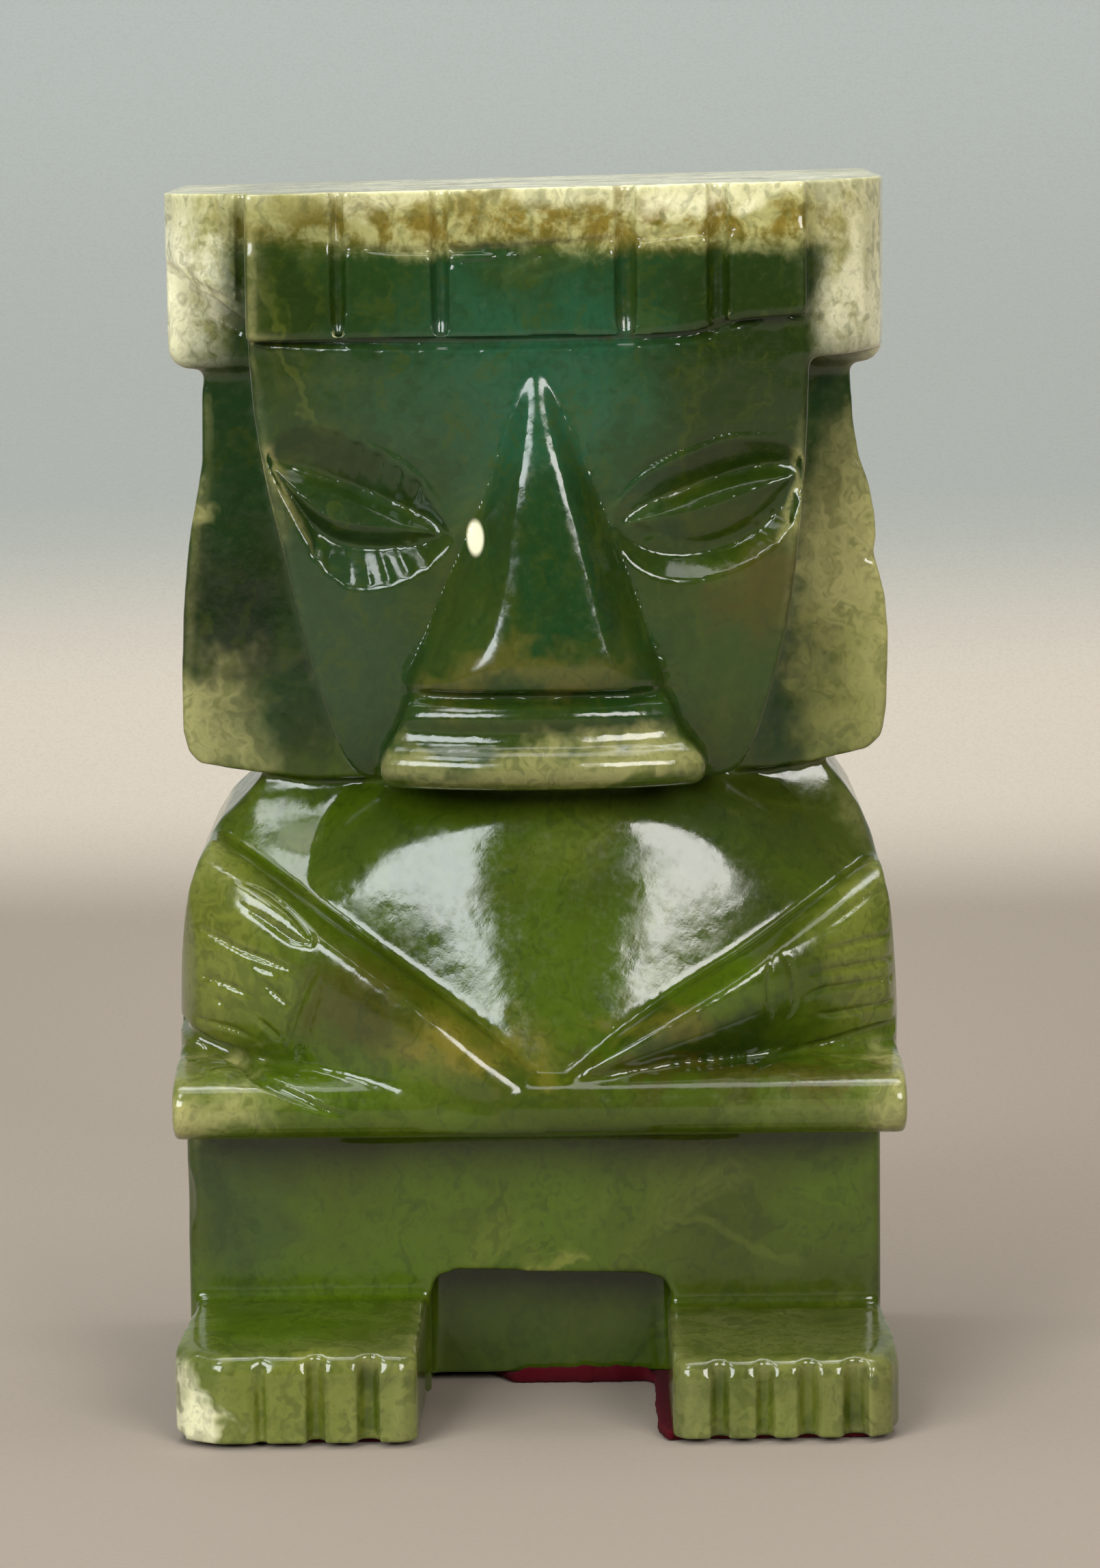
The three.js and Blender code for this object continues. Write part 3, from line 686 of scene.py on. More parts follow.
STROKES = {
    "left_cheek_line": (0, [
        (-2, 138.6, 0.2), (-5.4, 127.3, 0.35), (-11.5, 113.6, 0.45), (-17.3, 100, 0.4),
    ]),
    "right_cheek_line": (0, [
        (3.2, 138.6, 0.2), (7.6, 127.3, 0.35), (12.8, 113.6, 0.45), (17.4, 100, 0.4),
    ]),
    "brow": (0.2, [
        (-37, 145.3, 0.7), (-34, 145.3, 0.9), (-24, 145.2, 1), (-4, 145, 1), (19, 145.5, 0.9),
        (27.6, 147.4, 0.8), (36, 148.2, 0.6),
    ]),
    "tier": (0.1, [
        (-24.6, 157.4, 0.3), (-17.4, 157.2, 0.6), (-4, 157.3, 0.7), (13.1, 158.4, 0.65),
        (24, 159.2, 0.45), (31.1, 160, 0.25),
    ]),
    "tier_slip": (0, [
        (-13, 155.2, 0.2), (-6, 155.6, 0.45), (4, 156.5, 0.5), (12, 157.6, 0.3),
    ]),
    "right_lid_line": (0, [
        (10.6, 123.6, 0.2), (13.4, 127, 0.4), (17.4, 129.6, 0.45), (22, 131.4, 0.4),
        (27, 132.9, 0.35), (33, 132.6, 0.25),
    ]),
    "left_lid_line": (0, [
        (-24.4, 133.9, 0.2), (-19, 131.2, 0.35), (-14.6, 127.9, 0.35), (-11.2, 123, 0.2),
    ]),
    "left_under_hand": (0.1, [
        (-50, 52.4, 1.2), (-46.9, 51.2, 1.3), (-41.3, 48.9, 1.3), (-36.3, 47, 1.1),
        (-32.3, 45.4, 0.8), (-28.3, 43.6, 0.5), (-24, 42.4, 0.2),
    ]),
    "left_bracelet": (0, [
        (-29.4, 62.6, 0.25), (-30.6, 60.2, 0.5), (-32.2, 56.6, 0.55), (-33.5, 52.8, 0.55),
        (-34.4, 50, 0.25),
    ]),
    "left_bracelet_two": (0, [
        (-28.4, 62, 0.2), (-29.4, 58.6, 0.4), (-30.8, 54, 0.5), (-32, 50, 0.45),
        (-32.7, 48.2, 0.2),
    ]),
    "right_bracelet": (0, [
        (31.1, 63.2, 0.25), (30.8, 60, 0.5), (30.9, 56, 0.5), (31, 53.4, 0.25),
    ]),
    "right_bracelet_two": (0, [
        (32.2, 63.8, 0.25), (33.7, 61.2, 0.45), (34.2, 58.6, 0.5), (34.1, 55.4, 0.45),
        (32.2, 52.8, 0.25),
    ]),
    "left_finger_a": (0, [
        (-41.6, 73.4, 0.25), (-37, 71.8, 0.55), (-33, 69.2, 0.7), (-30.4, 66.6, 0.7),
        (-30, 65, 0.4),
    ]),
    "left_finger_a_under": (0, [
        (-40.4, 70.2, 0.25), (-36.4, 68, 0.5), (-33, 65.8, 0.55), (-30, 64.9, 0.3),
    ]),
    "left_finger_b": (0, [
        (-45.4, 66.4, 0.35), (-40.6, 64.2, 0.5), (-36.4, 62.8, 0.55), (-32.6, 61.5, 0.25),
    ]),
    "left_finger_b_under": (0, [
        (-39.6, 62.6, 0.2), (-36.6, 61.4, 0.45), (-33.8, 60.9, 0.2),
    ]),
    "left_finger_c": (0, [
        (-45.8, 60, 0.35), (-41.1, 58.8, 0.5), (-38, 57.4, 0.3),
    ]),
    "left_finger_c_up": (0, [
        (-38, 60.6, 0.2), (-36, 59, 0.45), (-34.2, 57.4, 0.45), (-32.8, 56.4, 0.2),
    ]),
    "left_finger_d": (0, [
        (-46.8, 54, 0.35), (-41.2, 52.8, 0.5), (-38, 51.6, 0.3),
    ]),
    "left_finger_d_up": (0, [
        (-39, 55.6, 0.2), (-37, 54, 0.45), (-35.6, 52.8, 0.45), (-34.6, 51.8, 0.2),
    ]),
    "left_finger_tip": (0, [
        (-44, 57, 0.3), (-43, 56.6, 0.5), (-42, 55.8, 0.3),
    ]),
    "right_finger_a": (0, [
        (36.6, 65, 0.2), (40, 66.6, 0.5), (43.4, 68.6, 0.5), (46, 70.2, 0.25),
    ]),
    "right_finger_b": (0, [
        (36.2, 62.7, 0.2), (39.6, 63, 0.45), (43.6, 63.5, 0.6), (47.6, 64, 0.5),
    ]),
    "right_finger_c": (0, [
        (35.2, 59.6, 0.2), (39, 60.1, 0.5), (43.6, 60.3, 0.6), (48, 60.5, 0.5),
    ]),
    "right_finger_d": (0, [
        (34.9, 55.7, 0.2), (37, 57.2, 0.45), (41, 57.7, 0.5), (48, 57.8, 0.5),
    ]),
    "right_finger_e": (0, [
        (36.2, 54.6, 0.2), (39.2, 53.8, 0.5), (43, 54, 0.55), (48.2, 54.4, 0.5),
    ]),
    "right_under_hand": (0.1, [
        (26, 46.9, 0.3), (31.3, 48.2, 0.6), (37.8, 49.2, 0.9), (43.5, 50.2, 1.1), (50, 51, 1.2),
    ]),
    "ear_notch": (0, [
        (44.6, 114.2, 0.3), (46.4, 114.6, 0.7), (49, 115, 0.9),
    ]),
    "left_wing_cut": (0, [
        (-46.6, 155.4, 0.3), (-44.4, 152.6, 0.6), (-40.8, 150.6, 0.8), (-38.1, 148.6, 0.8),
    ]),
    "left_wing_line": (0, [
        (-45.6, 150, 0.2), (-42.4, 147.6, 0.5), (-39, 145.8, 0.5),
    ]),
}


def carve(stone):
    """Cuts the engraved lines, channels and eye sockets, and shapes the eyes inside them."""
    surface = BVHTree.FromObject(stone, bpy.context.evaluated_depsgraph_get())
    strokes = [mark(name, along(surface, line, sink)) for name, (sink, line) in STROKES.items()]
    for x, half in CHANNELS:
        low, y, flare = 146.2, CROWN_FRONT, 3 * half
        deep = [(x, y + 0.2, low, half * 0.8), (x, y + 0.5, 150, half), (x, y + 0.6, 172, half)]
        wide = [(x, y - flare + 0.3, low + 3, flare), (x, y - flare + 0.5, 172, flare)]
        strokes += [mark("channel", deep), mark("channel_flare", wide)]
    strokes.append(mark("wing_groove", [(-38.1, -13, 146, 0.7), (-38.1, -14.6, 151, 1), (-38.1, -15, 172, 1)]))
    strokes += scallops(surface, LEFT_EYE, (8.6, 9.2, 9.75, 10.3, 10.85, 11.4, 11.9), 1.2, 0.4)
    strokes += scallops(surface, LEFT_EYE, (2.6, 3.2, 3.8, 4.4, 5), 1.5, 0.4)
    strokes += scallops(surface, RIGHT_EYE, (8.4, 9, 9.6, 10.2, 10.8, 11.4), 1.1, 0.25)
    tools = remesh(join("tools", strokes), TOOL_GRAIN)
    balls = [eyeball(surface, "left_eyeball", LEFT_BALL), eyeball(surface, "right_eyeball", RIGHT_BALL)]
    sockets = [socket(surface, "left_socket", LEFT_EYE), socket(surface, "right_socket", RIGHT_EYE)]
    combine(stone, "DIFFERENCE", tools)
    combine(stone, "DIFFERENCE", join("sockets", sockets))
    return join("stone", [stone, *balls])


def trim(stone):
    """Saws the top off level to the eye and the base flat for the felt."""
    saw = block("top_saw", (-90, -90, 0), (90, 90, 40))
    saw.data.transform(Matrix.Rotation(-TOP_TILT, 4, "Y"))
    saw.data.transform(Matrix.Translation((0.0009, 0, TOP_Z * MM)))
    combine(stone, "DIFFERENCE", saw)
    combine(stone, "DIFFERENCE", block("base_saw", (-90, -90, -40), (90, 90, TOE_REST)))
    return combine(stone, "DIFFERENCE", block("felt_saw", (-90, FELT_FRONT, -40), (90, 90, FELT_TOP)))


def idol():
    parts = [*torso(), *ledge(), *skirt(), *feet(), *head(), *face(), *headdress()]
    stone = remesh(join("stone", parts), ROUGH_GRAIN)
    polish(stone, 2)
    stone = carve(stone)
    trim(stone)
    remesh(stone, FINE_GRAIN)
    polish(stone, 4)
    count = len(stone.data.polygons) * 2
    modify(stone, "DECIMATE", ratio=min(1, STONE_FACES / count))
    take(stone)
    bpy.ops.object.shade_smooth()
    stone.name = "idol_stone"
    return stone


GLOW_DEPTH = 2.5
GLOW_REACH = 7.0
GLOW_RAYS = 18


def soak_light(stone):
    """Stores how much light reaches just under each point of the surface, counted over rays to the outside."""
    tree = BVHTree.FromObject(stone, bpy.context.evaluated_depsgraph_get())
    rays = []
    for i in range(GLOW_RAYS):
        up = 1 - 2 * (i + 0.5) / GLOW_RAYS
        turn = i * math.pi * (3 - math.sqrt(5))
        ring = math.sqrt(1 - up * up)
        rays.append((Vector((ring * math.cos(turn), ring * math.sin(turn), up)), 1 + 0.6 * up))
    total = sum(weight for ray, weight in rays)
    far = 6 * GLOW_REACH * MM
    values = []
    for vertex in stone.data.vertices:
        inside = vertex.co - vertex.normal * (GLOW_DEPTH * MM)
        light = 0
        for ray, weight in rays:
            hit = tree.ray_cast(inside, ray, far)
            if hit[0]:
                light += weight * math.exp(-hit[3] / (GLOW_REACH * MM))
        values.append(light / total)
    glow = stone.data.attributes.new("glow", "FLOAT", "POINT")
    glow.data.foreach_set("value", values)


stone = idol()
soak_light(stone)
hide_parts("figure")
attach(stone, "root")


# The felt
FELT_OUTLINE = [
    (-46.8, 34.9), (-47, 0), (-46.6, -28), (-45, FELT_FRONT + 0.8), (-18, FELT_FRONT + 0.4),
    (-17.6, -31), (-17.4, 2), (-8, 3), (-5.6, 0), (-4.4, -3), (6, -3.4), (14.2, -3.2), (15.5, -5),
    (15.3, -18), (15.4, -30), (16.4, -34.2), (19, FELT_FRONT - 0.2), (43.4, FELT_FRONT), (45.6, -31),
    (45.8, 0), (45.6, 34.8),
]
LIP_RISE = 1.3 # the loose edge in the recess curls up by this much


def felt():
    """A hand-cut piece of craft felt glued under the base, a little proud inside the recess."""
    line = []
    count = len(FELT_OUTLINE)
    for i in range(count):
        a, b = Vector(FELT_OUTLINE[i]), Vector(FELT_OUTLINE[(i + 1) % count])
        steps = max(1, round((b - a).length / 1.3))
        line += [a.lerp(b, k / steps) for k in range(steps)]
    cut = []
    for i, place in enumerate(line):
        x = place.x + 0.12 * math.sin(2.3 * i) + 0.1 * math.sin(0.71 * i)
        y = place.y + 0.14 * math.sin(1.9 * i + 1)
        cut.append((x, y))
    piece = post("idol_felt", cut, 0.05, FELT_TOP)
    remesh(piece, 0.42)
    edit(piece, "VERT", lambda corners: True)
    bpy.ops.transform.vertex_random(offset=0.05 * MM, uniform=1, normal=0, seed=3)
    bpy.ops.object.mode_set(mode="OBJECT")
    for vertex in piece.data.vertices:
        x, y, z = vertex.co / MM
        curl = min(1, max(0, (-2.2 - y) / 1)) * min(1, max(0, (x + 5) / 3)) * min(1, max(0, (15.4 - x) / 1.5))
        vertex.co.z += LIP_RISE * MM * curl * (z / FELT_TOP) if y > -4.5 else 0
    polish(piece, 1, 0.4)
    take(piece)
    bpy.ops.object.shade_smooth()
    return piece


pad = felt()
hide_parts("felt_pad")
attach(pad, "root")


# Materials
class Wire:
    """A number on its way through a finish, which can be reckoned with as in Python."""

    def __init__(self, finish, socket):
        self.finish = finish
        self.socket = socket

    def reckon(self, how, *others):
        return self.finish.node("ShaderNodeMath", {"operation": how}, dict(enumerate(others)))

    def __add__(self, other):
        return self.reckon("ADD", self, other)

    def __sub__(self, other):
        return self.reckon("SUBTRACT", self, other)

    def __rsub__(self, other):
        return self.reckon("SUBTRACT", other, self)

    def __mul__(self, other):
        return self.reckon("MULTIPLY", self, other)

    def __abs__(self):
        return self.reckon("ABSOLUTE", self)

    __radd__ = __add__
    __rmul__ = __mul__


class Finish:
    """A material, with one way to add a node."""

    def __init__(self, name):
        self.material = bpy.data.materials.new(name)
        self.material.use_nodes = True
        self.tree = self.material.node_tree
        self.shader = self.tree.nodes["Principled BSDF"]

    def node(self, kind, settings, inputs, output=0):
        made = self.tree.nodes.new(kind)
        for key, value in settings.items():
            setattr(made, key, value)
        for key, value in inputs.items():
            self.feed(self.pick(made.inputs, key), value)
        return Wire(self, self.pick(made.outputs, output))

    def pick(self, sockets, key):
        if isinstance(key, int):
            return sockets[key]
        return next(s for s in sockets if key in (s.identifier, s.name))

    def feed(self, socket, value):
        if isinstance(value, Wire):
            self.tree.links.new(value.socket, socket)
        elif socket.type == "RGBA":
            socket.default_value = (*value, 1)
        else:
            socket.default_value = value

    def shade(self, **inputs):
        for key, value in inputs.items():
            self.feed(self.pick(self.shader.inputs, key.replace("_", " ")), value)

    def place(self):
        """Object coordinates in millimetres."""
        raw = self.node("ShaderNodeTexCoord", {}, {}, "Object")
        return self.stretch(raw, (1 / MM, 1 / MM, 1 / MM))

    def stretch(self, vector, by):
        return self.node("ShaderNodeVectorMath", {"operation": "MULTIPLY"}, {0: vector, 1: by})

    def shift(self, vector, by):
        return self.node("ShaderNodeVectorMath", {"operation": "ADD"}, {0: vector, 1: by})

    def turn(self, vector, angles):
        inputs = {"Vector": vector, "Rotation": angles}
        return self.node("ShaderNodeVectorRotate", {"rotation_type": "EULER_XYZ"}, inputs)

    def split(self, vector):
        made = self.node("ShaderNodeSeparateXYZ", {}, {0: vector})
        return [Wire(self, socket) for socket in made.socket.node.outputs]

    def cloud(self, vector, size, detail=3, rough=0.55, warp=0, output="Fac"):
        inputs = {"Vector": vector, "Scale": 1 / size, "Detail": detail, "Roughness": rough, "Distortion": warp}
        return self.node("ShaderNodeTexNoise", {}, inputs, output)

    def ease(self, value, low, high):
        """From 0 at low to 1 at high, softly."""
        inputs = {"Value": value, "From Min": low, "From Max": high, "To Min": 0.0, "To Max": 1.0}
        return self.node("ShaderNodeMapRange", {"interpolation_type": "SMOOTHSTEP"}, inputs)

    def blend(self, share, under, over):
        inputs = {"Factor_Float": share, "A_Color": under, "B_Color": over}
        return self.node("ShaderNodeMix", {"data_type": "RGBA", "clamp_factor": True}, inputs, "Result_Color")

    def patch(self, place, middle, half, soft=0.5):
        """A soft-edged egg in the stone, 1 inside and 0 outside."""
        moved = self.shift(place, tuple(-v for v in middle))
        scaled = self.stretch(moved, tuple(1 / v for v in half))
        length = self.node("ShaderNodeVectorMath", {"operation": "LENGTH"}, {0: scaled}, "Value")
        return 1 - self.ease(length, 1 - soft, 1 + soft)

    def vein(self, x, z, start, end, width):
        """A thin seam in the stone, drawn on the front from one place to another."""
        along = Vector(end) - Vector(start)
        size = along.length
        along.normalize()
        off = abs((x - start[0]) * along.y - (z - start[1]) * along.x)
        run = (x - start[0]) * along.x + (z - start[1]) * along.y
        ends = self.ease(run, -1.0, 3.0) * (1 - self.ease(run, size - 3, size + 1))
        return (1 - self.ease(off, width * 0.3, width)) * ends


# Colours in the stone
PINE = (0.012, 0.026, 0.002)
BOTTLE = (0.007, 0.036, 0.007)
TEAL = (0.016, 0.080, 0.038)
OLIVE = (0.038, 0.055, 0.003)
LEAF = (0.060, 0.100, 0.003)
MOSS = (0.170, 0.185, 0.028)
STRAW = (0.420, 0.390, 0.150)
CREAM = (0.900, 0.860, 0.580)
HONEY = (0.210, 0.150, 0.022)
UMBER = (0.060, 0.038, 0.003)
SLATE = (0.022, 0.045, 0.016)
SMOKE = (0.010, 0.016, 0.005)
# Clouds in the stone, with painted light in those marked below: middle, half size, softness, share, colour
CLOUDS = [
    ((1, -20, 139), (18, 14, 15), 0.6, 0.75, TEAL),
    ((-16, -20, 136), (12, 14, 12), 0.6, 0.4, SLATE),
    ((29, -18, 140), (14, 14, 18), 0.6, 0.95, PINE),
    ((3, -30, 116), (9, 10, 16), 0.6, 0.8, BOTTLE),
    ((-10, -26, 108), (6, 8, 10), 0.6, 0.5, OLIVE),
    ((16, -26, 108), (6, 8, 10), 0.6, 0.5, OLIVE),
    # painted reflection: a warm brown band where the muzzle's underside reflects the floor
    ((0, -30, 101), (20, 8, 3.2), 0.6, 0.3, HONEY),
    ((-27, -19, 106), (9, 10, 18), 0.6, 0.6, SLATE),
    ((27, -19, 104), (9, 10, 18), 0.6, 0.5, OLIVE),
    ((31, -19, 112), (5, 8, 8), 0.6, 0.5, UMBER),
    ((-28, -19, 126), (8, 8, 7), 0.6, 0.6, PINE),
    # pale chin roll, partly a painted highlight
    ((0, -28, 88.6), (26, 8, 3.4), 0.5, 0.55, STRAW),
    ((-42, 4, 106), (8, 14, 12), 0.5, 0.85, SMOKE),
    # pale ear edge, partly a painted glow where light soaks into the thin stone
    ((-47, 2, 122), (3, 8, 5), 0.5, 0.6, STRAW),
    ((30, -22, 152), (12, 6, 5), 0.6, 0.6, PINE),
    ((-31, -22, 151), (9, 6, 7), 0.6, 0.85, PINE),
    ((-8, -28, 92), (14, 8, 6), 0.7, 0.4, OLIVE),
    # pale lower ear, partly a painted glow where light soaks into the thin stone
    ((-46, 4, 92), (10, 16, 8), 0.6, 0.6, STRAW),
    # pale right ear, partly a painted glow where light soaks into the thin stone
    ((46, 4, 108), (9, 18, 22), 0.6, 0.85, STRAW),
    ((42, 2, 96), (7, 14, 12), 0.6, 0.45, MOSS),
    ((3, -24, 66), (15, 10, 14), 0.7, 0.7, LEAF),
    ((-26, -16, 80), (14, 10, 8), 0.7, 0.5, PINE),
    ((24, -16, 78), (12, 10, 8), 0.7, 0.35, SLATE),
    ((-8, -26, 52), (9, 6, 5), 0.6, 0.6, HONEY),
    ((-24, -22, 58), (9, 6, 5), 0.6, 0.4, UMBER),
    ((14, -25, 55), (8, 6, 3), 0.6, 0.45, HONEY),
    ((24, -20, 51), (14, 8, 5), 0.6, 0.8, PINE),
    ((24, -22, 47), (26, 8, 2), 0.5, 0.75, UMBER),
    ((-22, -24, 47), (14, 8, 5), 0.6, 0.55, LEAF),
    ((-44, -14, 62), (9, 12, 13), 0.7, 0.75, MOSS),
    ((45, -12, 60), (7, 12, 12), 0.7, 0.65, MOSS),
    # pale ends of the ledge, partly a painted glow where light soaks into the thin stone
    ((-47, -18, 43), (10, 14, 4.4), 0.6, 0.75, STRAW),
    ((48, -18, 44), (4, 14, 5), 0.6, 0.6, STRAW),
    ((14, -26, 44), (28, 8, 5), 0.6, 0.65, OLIVE),
    ((-41, -12, 27), (7, 10, 13), 0.6, 0.5, SLATE),
    ((3, -12, 20.4), (2.6, 6, 1.8), 0.4, 0.7, MOSS),
    ((-33, -37, 4), (19, 4, 8), 0.6, 0.6, MOSS),
    ((33, -37, 4), (17, 4, 8), 0.6, 0.4, MOSS),
    # pale outer corner of the left foot, partly a painted highlight on its chamfer
    ((-48, -35, 5), (4, 5, 8), 0.5, 0.85, CREAM),
    # painted shade: the recess between the feet darkened
    ((0, 0, 6), (17, 9, 14), 0.5, 0.6, PINE),
]
WARP = 9 # how far the clouds wander, mm


def onyx():
    finish = Finish("green_onyx")
    bare = finish.place()
    stir = finish.cloud(bare, 9, 3, 0.62, output="Color")
    sway = finish.stretch(finish.shift(stir, (-0.5, -0.5, -0.5)), (2.4 * WARP, 2.4 * WARP, 2.4 * WARP))
    place = finish.node("ShaderNodeVectorMath", {"operation": "ADD"}, {0: bare, 1: sway})
    x, _, z = finish.split(place)
    x0, _, z0 = finish.split(bare)
    band = finish.cloud(finish.stretch(finish.turn(bare, (0.3, 0.7, 0.2)), (0.4, 1, 1)), 11, 4, 0.6, 0.6)
    wide = finish.cloud(bare, 30, 3, 0.55, 0.4)
    small = finish.cloud(bare, 4.5, 4, 0.65, 0.3)
    grain = finish.cloud(finish.stretch(place, (1, 1, 0.16)), 3.2, 2, 0.55)
    fleck = finish.cloud(bare, 1.1, 3, 0.7)
    glow = finish.node("ShaderNodeAttribute", {"attribute_name": "glow"}, {}, "Fac")

    # the body of the stone, darker in the head
    head = finish.ease(z, 80, 92)
    colour = finish.blend(finish.ease(wide, 0.36, 0.64), LEAF, OLIVE)
    colour = finish.blend(head * 0.85, colour, finish.blend(finish.ease(wide, 0.4, 0.6), PINE, BOTTLE))
    colour = finish.blend(finish.ease(band, 0.52, 0.75) * 0.3, colour, MOSS)
    for middle, half, soft, share, tint in CLOUDS:
        colour = finish.blend(finish.patch(place, middle, half, soft) * share, colour, tint)
    # the pale top of the headdress and its wings: a painted glow where light from above soaks into the stone,
    # weaker towards the left
    crown = finish.ease(z0 + (wide - 0.5) * 6 + (small - 0.5) * 5, 156, 160)
    warm = finish.blend(finish.ease(small, 0.42, 0.6), HONEY, STRAW)
    pale = 0.5 + finish.ease(x0, -32, -12) * 0.4
    colour = finish.blend(crown * pale, colour, warm)
    # painted glow: the paler top edge of the headdress
    edge = finish.ease(z0 + (band - 0.5) * 12 + (small - 0.5) * 6, 162, 166)
    colour = finish.blend(edge * pale, colour, CREAM)
    out = abs(x0 + 0.8)
    wings = finish.ease(out + (band - 0.5) * 8, 37, 43) * finish.ease(z0, 138, 150)
    colour = finish.blend(wings * 0.8, colour, finish.blend(finish.ease(small, 0.35, 0.6), STRAW, CREAM))
    # painted glow: the pale outer ends of the wings
    rim = finish.ease(out + (band - 0.5) * 6, 42, 48) * finish.ease(z0, 138, 146)
    colour = finish.blend(rim * 0.9, colour, CREAM)
    # lighter where light soaks in
    lit = finish.ease(glow + (small - 0.5) * 0.12, 0.37, 0.58)
    colour = finish.blend(lit * (0.28 + head * 0.2), colour, STRAW)
    # fine upright grain and clouding
    colour = finish.blend(finish.ease(grain, 0.5, 0.7) * 0.45, colour, OLIVE)
    colour = finish.blend(finish.ease(grain, 0.5, 0.32) * 0.35, colour, PINE)
    colour = finish.blend(finish.ease(fleck, 0.5, 0.8) * 0.05, colour, MOSS)
    colour = finish.blend(finish.ease(fleck, 0.45, 0.25) * 0.25, colour, SMOKE)
    # veins and inclusions
    milk = finish.vein(x, z0, (-35, 155), (-28, 133), 1.2)
    colour = finish.blend(milk * 0.16, colour, MOSS)
    seam = finish.vein(x, z0, (18, 26), (37, 18.5), 1)
    colour = finish.blend(seam * 0.15, colour, MOSS)
    crumb = finish.patch(bare, (-7.7, -24, 119.4), (1.2, 8, 2.4), 0.2)
    colour = finish.blend(crumb, colour, CREAM)
    finish.shade(Base_Color=colour)

    rough = 0.08 + finish.ease(fleck, 0.35, 0.75) * 0.1 + finish.ease(small, 0.4, 0.7) * 0.07
    ripple = finish.cloud(bare, 7, 2, 0.5)
    polish_lines = finish.cloud(finish.stretch(finish.turn(bare, (0, 0.9, 0)), (0.15, 1, 1)), 0.9, 2, 0.6)
    height = ripple * 0.3 + fleck * 0.025 + polish_lines * 0.015
    bump = finish.node("ShaderNodeBump", {}, {"Strength": 0.5, "Distance": MM, "Height": height}, "Normal")
    finish.shade(Roughness=rough, Normal=bump, IOR=1.55)
    finish.shade(Subsurface_Weight=0.15, Subsurface_Radius=(0.7, 1.0, 0.3), Subsurface_Scale=0.002)
    return finish.material


def craft_felt():
    finish = Finish("red_felt")
    bare = finish.place()
    fibre = finish.cloud(finish.stretch(bare, (1, 1, 3)), 0.5, 4, 0.7, 1.2)
    wear = finish.cloud(bare, 6, 3)
    colour = finish.blend(fibre, (0.038, 0.001, 0.003), (0.115, 0.002, 0.008))
    colour = finish.blend(finish.ease(wear, 0.5, 0.7) * 0.3, colour, (0.07, 0.006, 0.008))
    bump = finish.node("ShaderNodeBump", {}, {"Strength": 0.8, "Distance": 0.0003, "Height": fibre}, "Normal")
    finish.shade(Base_Color=colour, Roughness=0.95, Normal=bump, IOR=1.2)
    finish.shade(Sheen_Weight=0.02, Sheen_Roughness=0.5)
    return finish.material


def wall_paint():
    """Pinkish grey paper on the table that turns bluish grey up the wall, with its light painted in: shade at
    the front and a pale highlight in its bend.
    """
    finish = Finish("studio_paper")
    bare = finish.place()
    _, y, z = finish.split(bare)
    drift = (finish.cloud(bare, 400, 2) - 0.5) * 12
    # painted shade: the paper darker towards the front, lighter towards the figure
    colour = finish.blend(finish.ease(y + drift, -450, -120), (0.22, 0.19, 0.16), (0.31, 0.258, 0.208))
    colour = finish.blend(finish.ease(y + drift, -80, 140), colour, (0.385, 0.320, 0.258))
    # painted highlight: the bend paler where it catches the light
    colour = finish.blend(finish.ease(y + drift, 380, 490), colour, (0.65, 0.57, 0.475))
    # painted light: bluish grey up the wall and lighter higher up, from its lamps
    colour = finish.blend(finish.ease(z + drift, 24, 72), colour, (0.365, 0.385, 0.355))
    colour = finish.blend(finish.ease(z + drift, 90, 200), colour, (0.400, 0.425, 0.400))
    fleck = finish.cloud(bare, 0.8, 2, 0.6)
    colour = finish.blend(finish.ease(fleck, 0.4, 0.7) * 0.12, colour, (0.2, 0.18, 0.16))
    finish.shade(Base_Color=colour, Roughness=0.8)
    return finish.material


stone.data.materials.clear()
stone.data.materials.append(onyx())
pad.data.materials.clear()
pad.data.materials.append(craft_felt())


# Studio
PAPER_BEND = 380 # where the paper starts to sweep up behind the table, mm
PAPER_WALL = 860


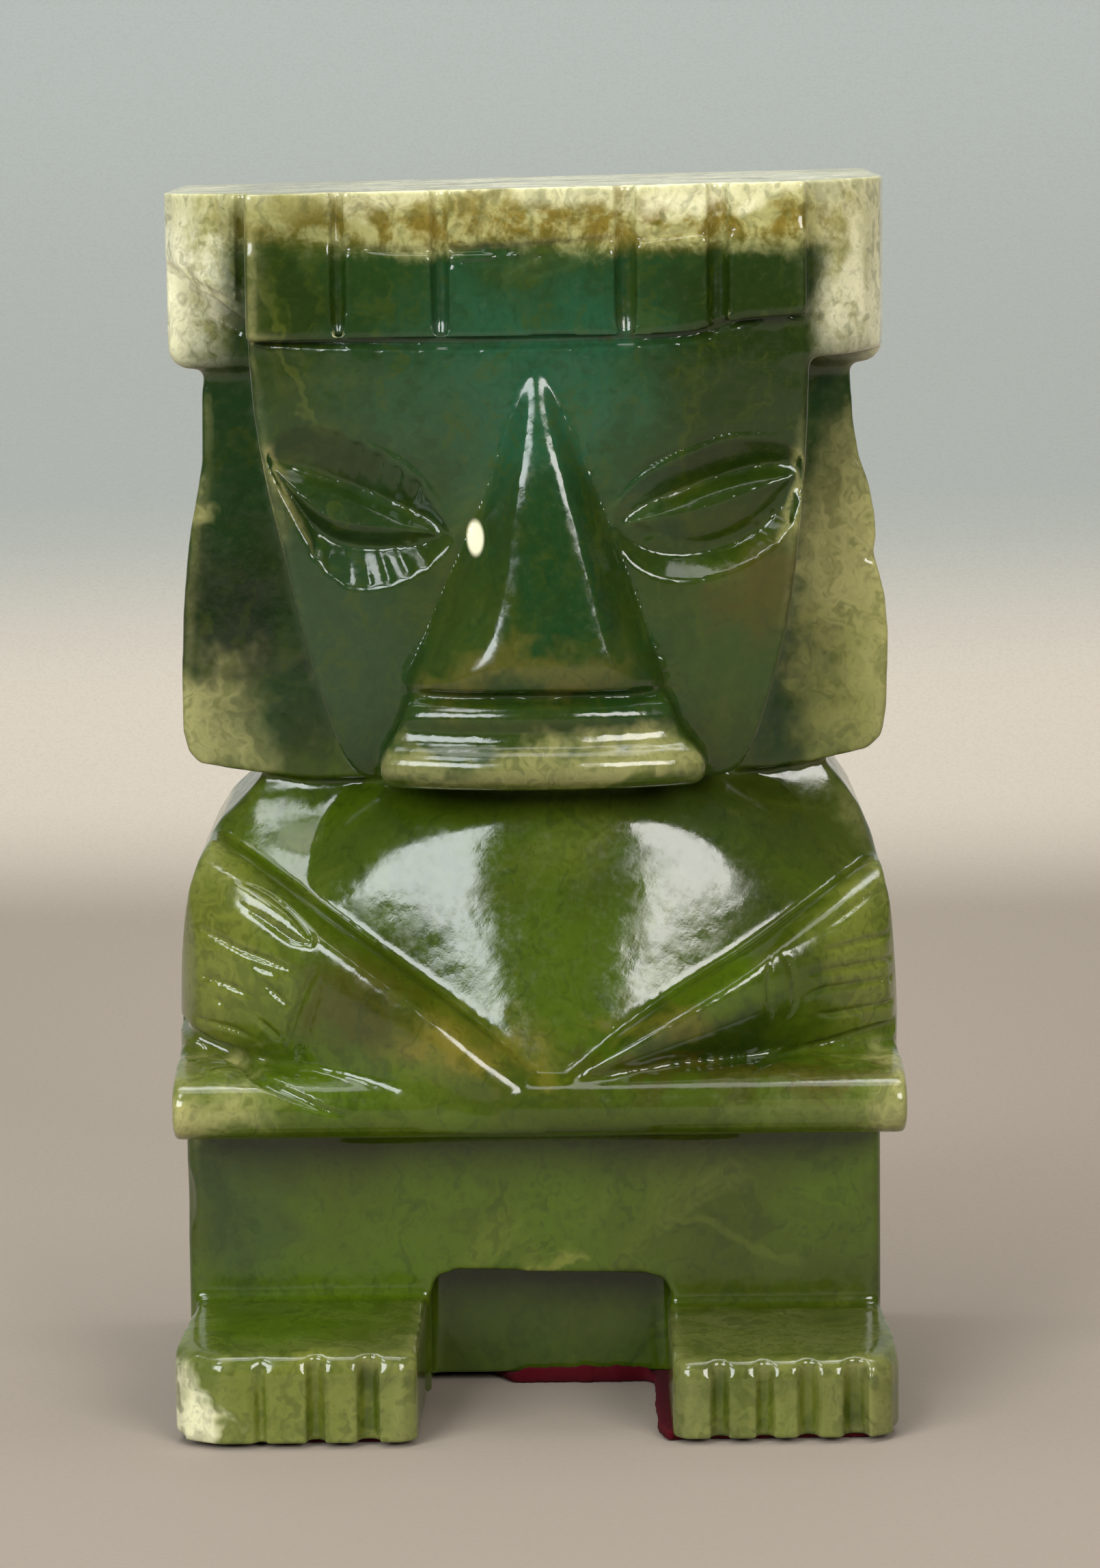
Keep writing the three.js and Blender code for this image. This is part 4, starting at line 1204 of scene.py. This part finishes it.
def studio():
    bpy.ops.mesh.primitive_plane_add(size=1, location=(0, (PAPER_WALL - 1500) / 2 * MM, 0))
    floor = bpy.context.object
    floor.scale = (4, (PAPER_WALL + 1500) * MM, 1)
    floor = settle("floor")
    edit(floor, "EDGE", lambda c: all(v.y > PAPER_WALL - 1 for v in c))
    bpy.ops.mesh.extrude_region_move(TRANSFORM_OT_translate={"value": (0, 0, 1.6)})
    bpy.ops.object.mode_set(mode="OBJECT")
    bend = PAPER_WALL - PAPER_BEND
    round_edges(floor, lambda c: all(abs(v.z) < 1 and v.y > PAPER_WALL - 1 for v in c), bend, 24)
    take(floor)
    bpy.ops.object.shade_smooth()
    floor.data.materials.append(wall_paint())

    bpy.context.scene.view_settings.view_transform = "Standard"
    world = bpy.data.worlds.new("studio")
    bpy.context.scene.world = world
    world.use_nodes = True
    world.node_tree.nodes["Background"].inputs["Color"].default_value = (0.9, 0.96, 1, 1)
    world.node_tree.nodes["Background"].inputs["Strength"].default_value = 0.1

    for name, place, target, size, glow, colour in (
        ("left_window", (-0.52, -0.77, 0.48), (0, 0, 0.07), (0.6, 0.38), 11, (0.93, 0.98, 1)),
        ("right_window", (0.46, -0.8, 0.48), (0, 0, 0.07), (0.44, 0.38), 12, (1, 0.98, 0.95)),
        ("high_window", (-0.4, -0.48, 0.95), (0, 0, 0.1), (0.3, 0.3), 8, (0.95, 0.98, 1)),
        ("overhead", (0.0, -0.05, 1.1), (0, 0, 0), (0.8, 0.6), 3, (1, 0.98, 0.95)),
        ("backdrop_lamp", (0, 0.1, 1.3), (0, 0.86, 0.25), (1.4, 0.3), 5, (0.95, 0.98, 1)),
    ):
        bpy.ops.object.light_add(type="AREA", location=place)
        lamp = bpy.context.object
        lamp.name = name
        lamp.visible_camera = False
        lamp.data.shape = "RECTANGLE"
        lamp.data.size, lamp.data.size_y = size
        lamp.data.energy = glow * math.pi * size[0] * size[1]
        lamp.data.color = colour
        aim = Vector(target) - Vector(place)
        lamp.rotation_euler = aim.to_track_quat("-Z", "Y").to_euler()


def camera():
    pitch, roll = math.radians(8.09), math.radians(0.64)
    ahead = Vector((0, math.cos(pitch), -math.sin(pitch)))
    level_up = Vector((0, math.sin(pitch), math.cos(pitch)))
    right = Vector((1, 0, 0)) * math.cos(roll) - level_up * math.sin(roll)
    up = Vector((1, 0, 0)) * math.sin(roll) + level_up * math.cos(roll)
    turn = Matrix((right, up, -ahead)).transposed().to_4x4()
    bpy.ops.object.camera_add()
    view = bpy.context.object
    view.matrix_world = Matrix.Translation(Vector((1.86, -706, 183.8)) * MM) @ turn
    view.data.sensor_fit = "VERTICAL"
    view.data.sensor_height = 36
    view.data.lens = 119.62
    view.data.clip_end = 20
    bpy.context.scene.camera = view


studio()
camera()
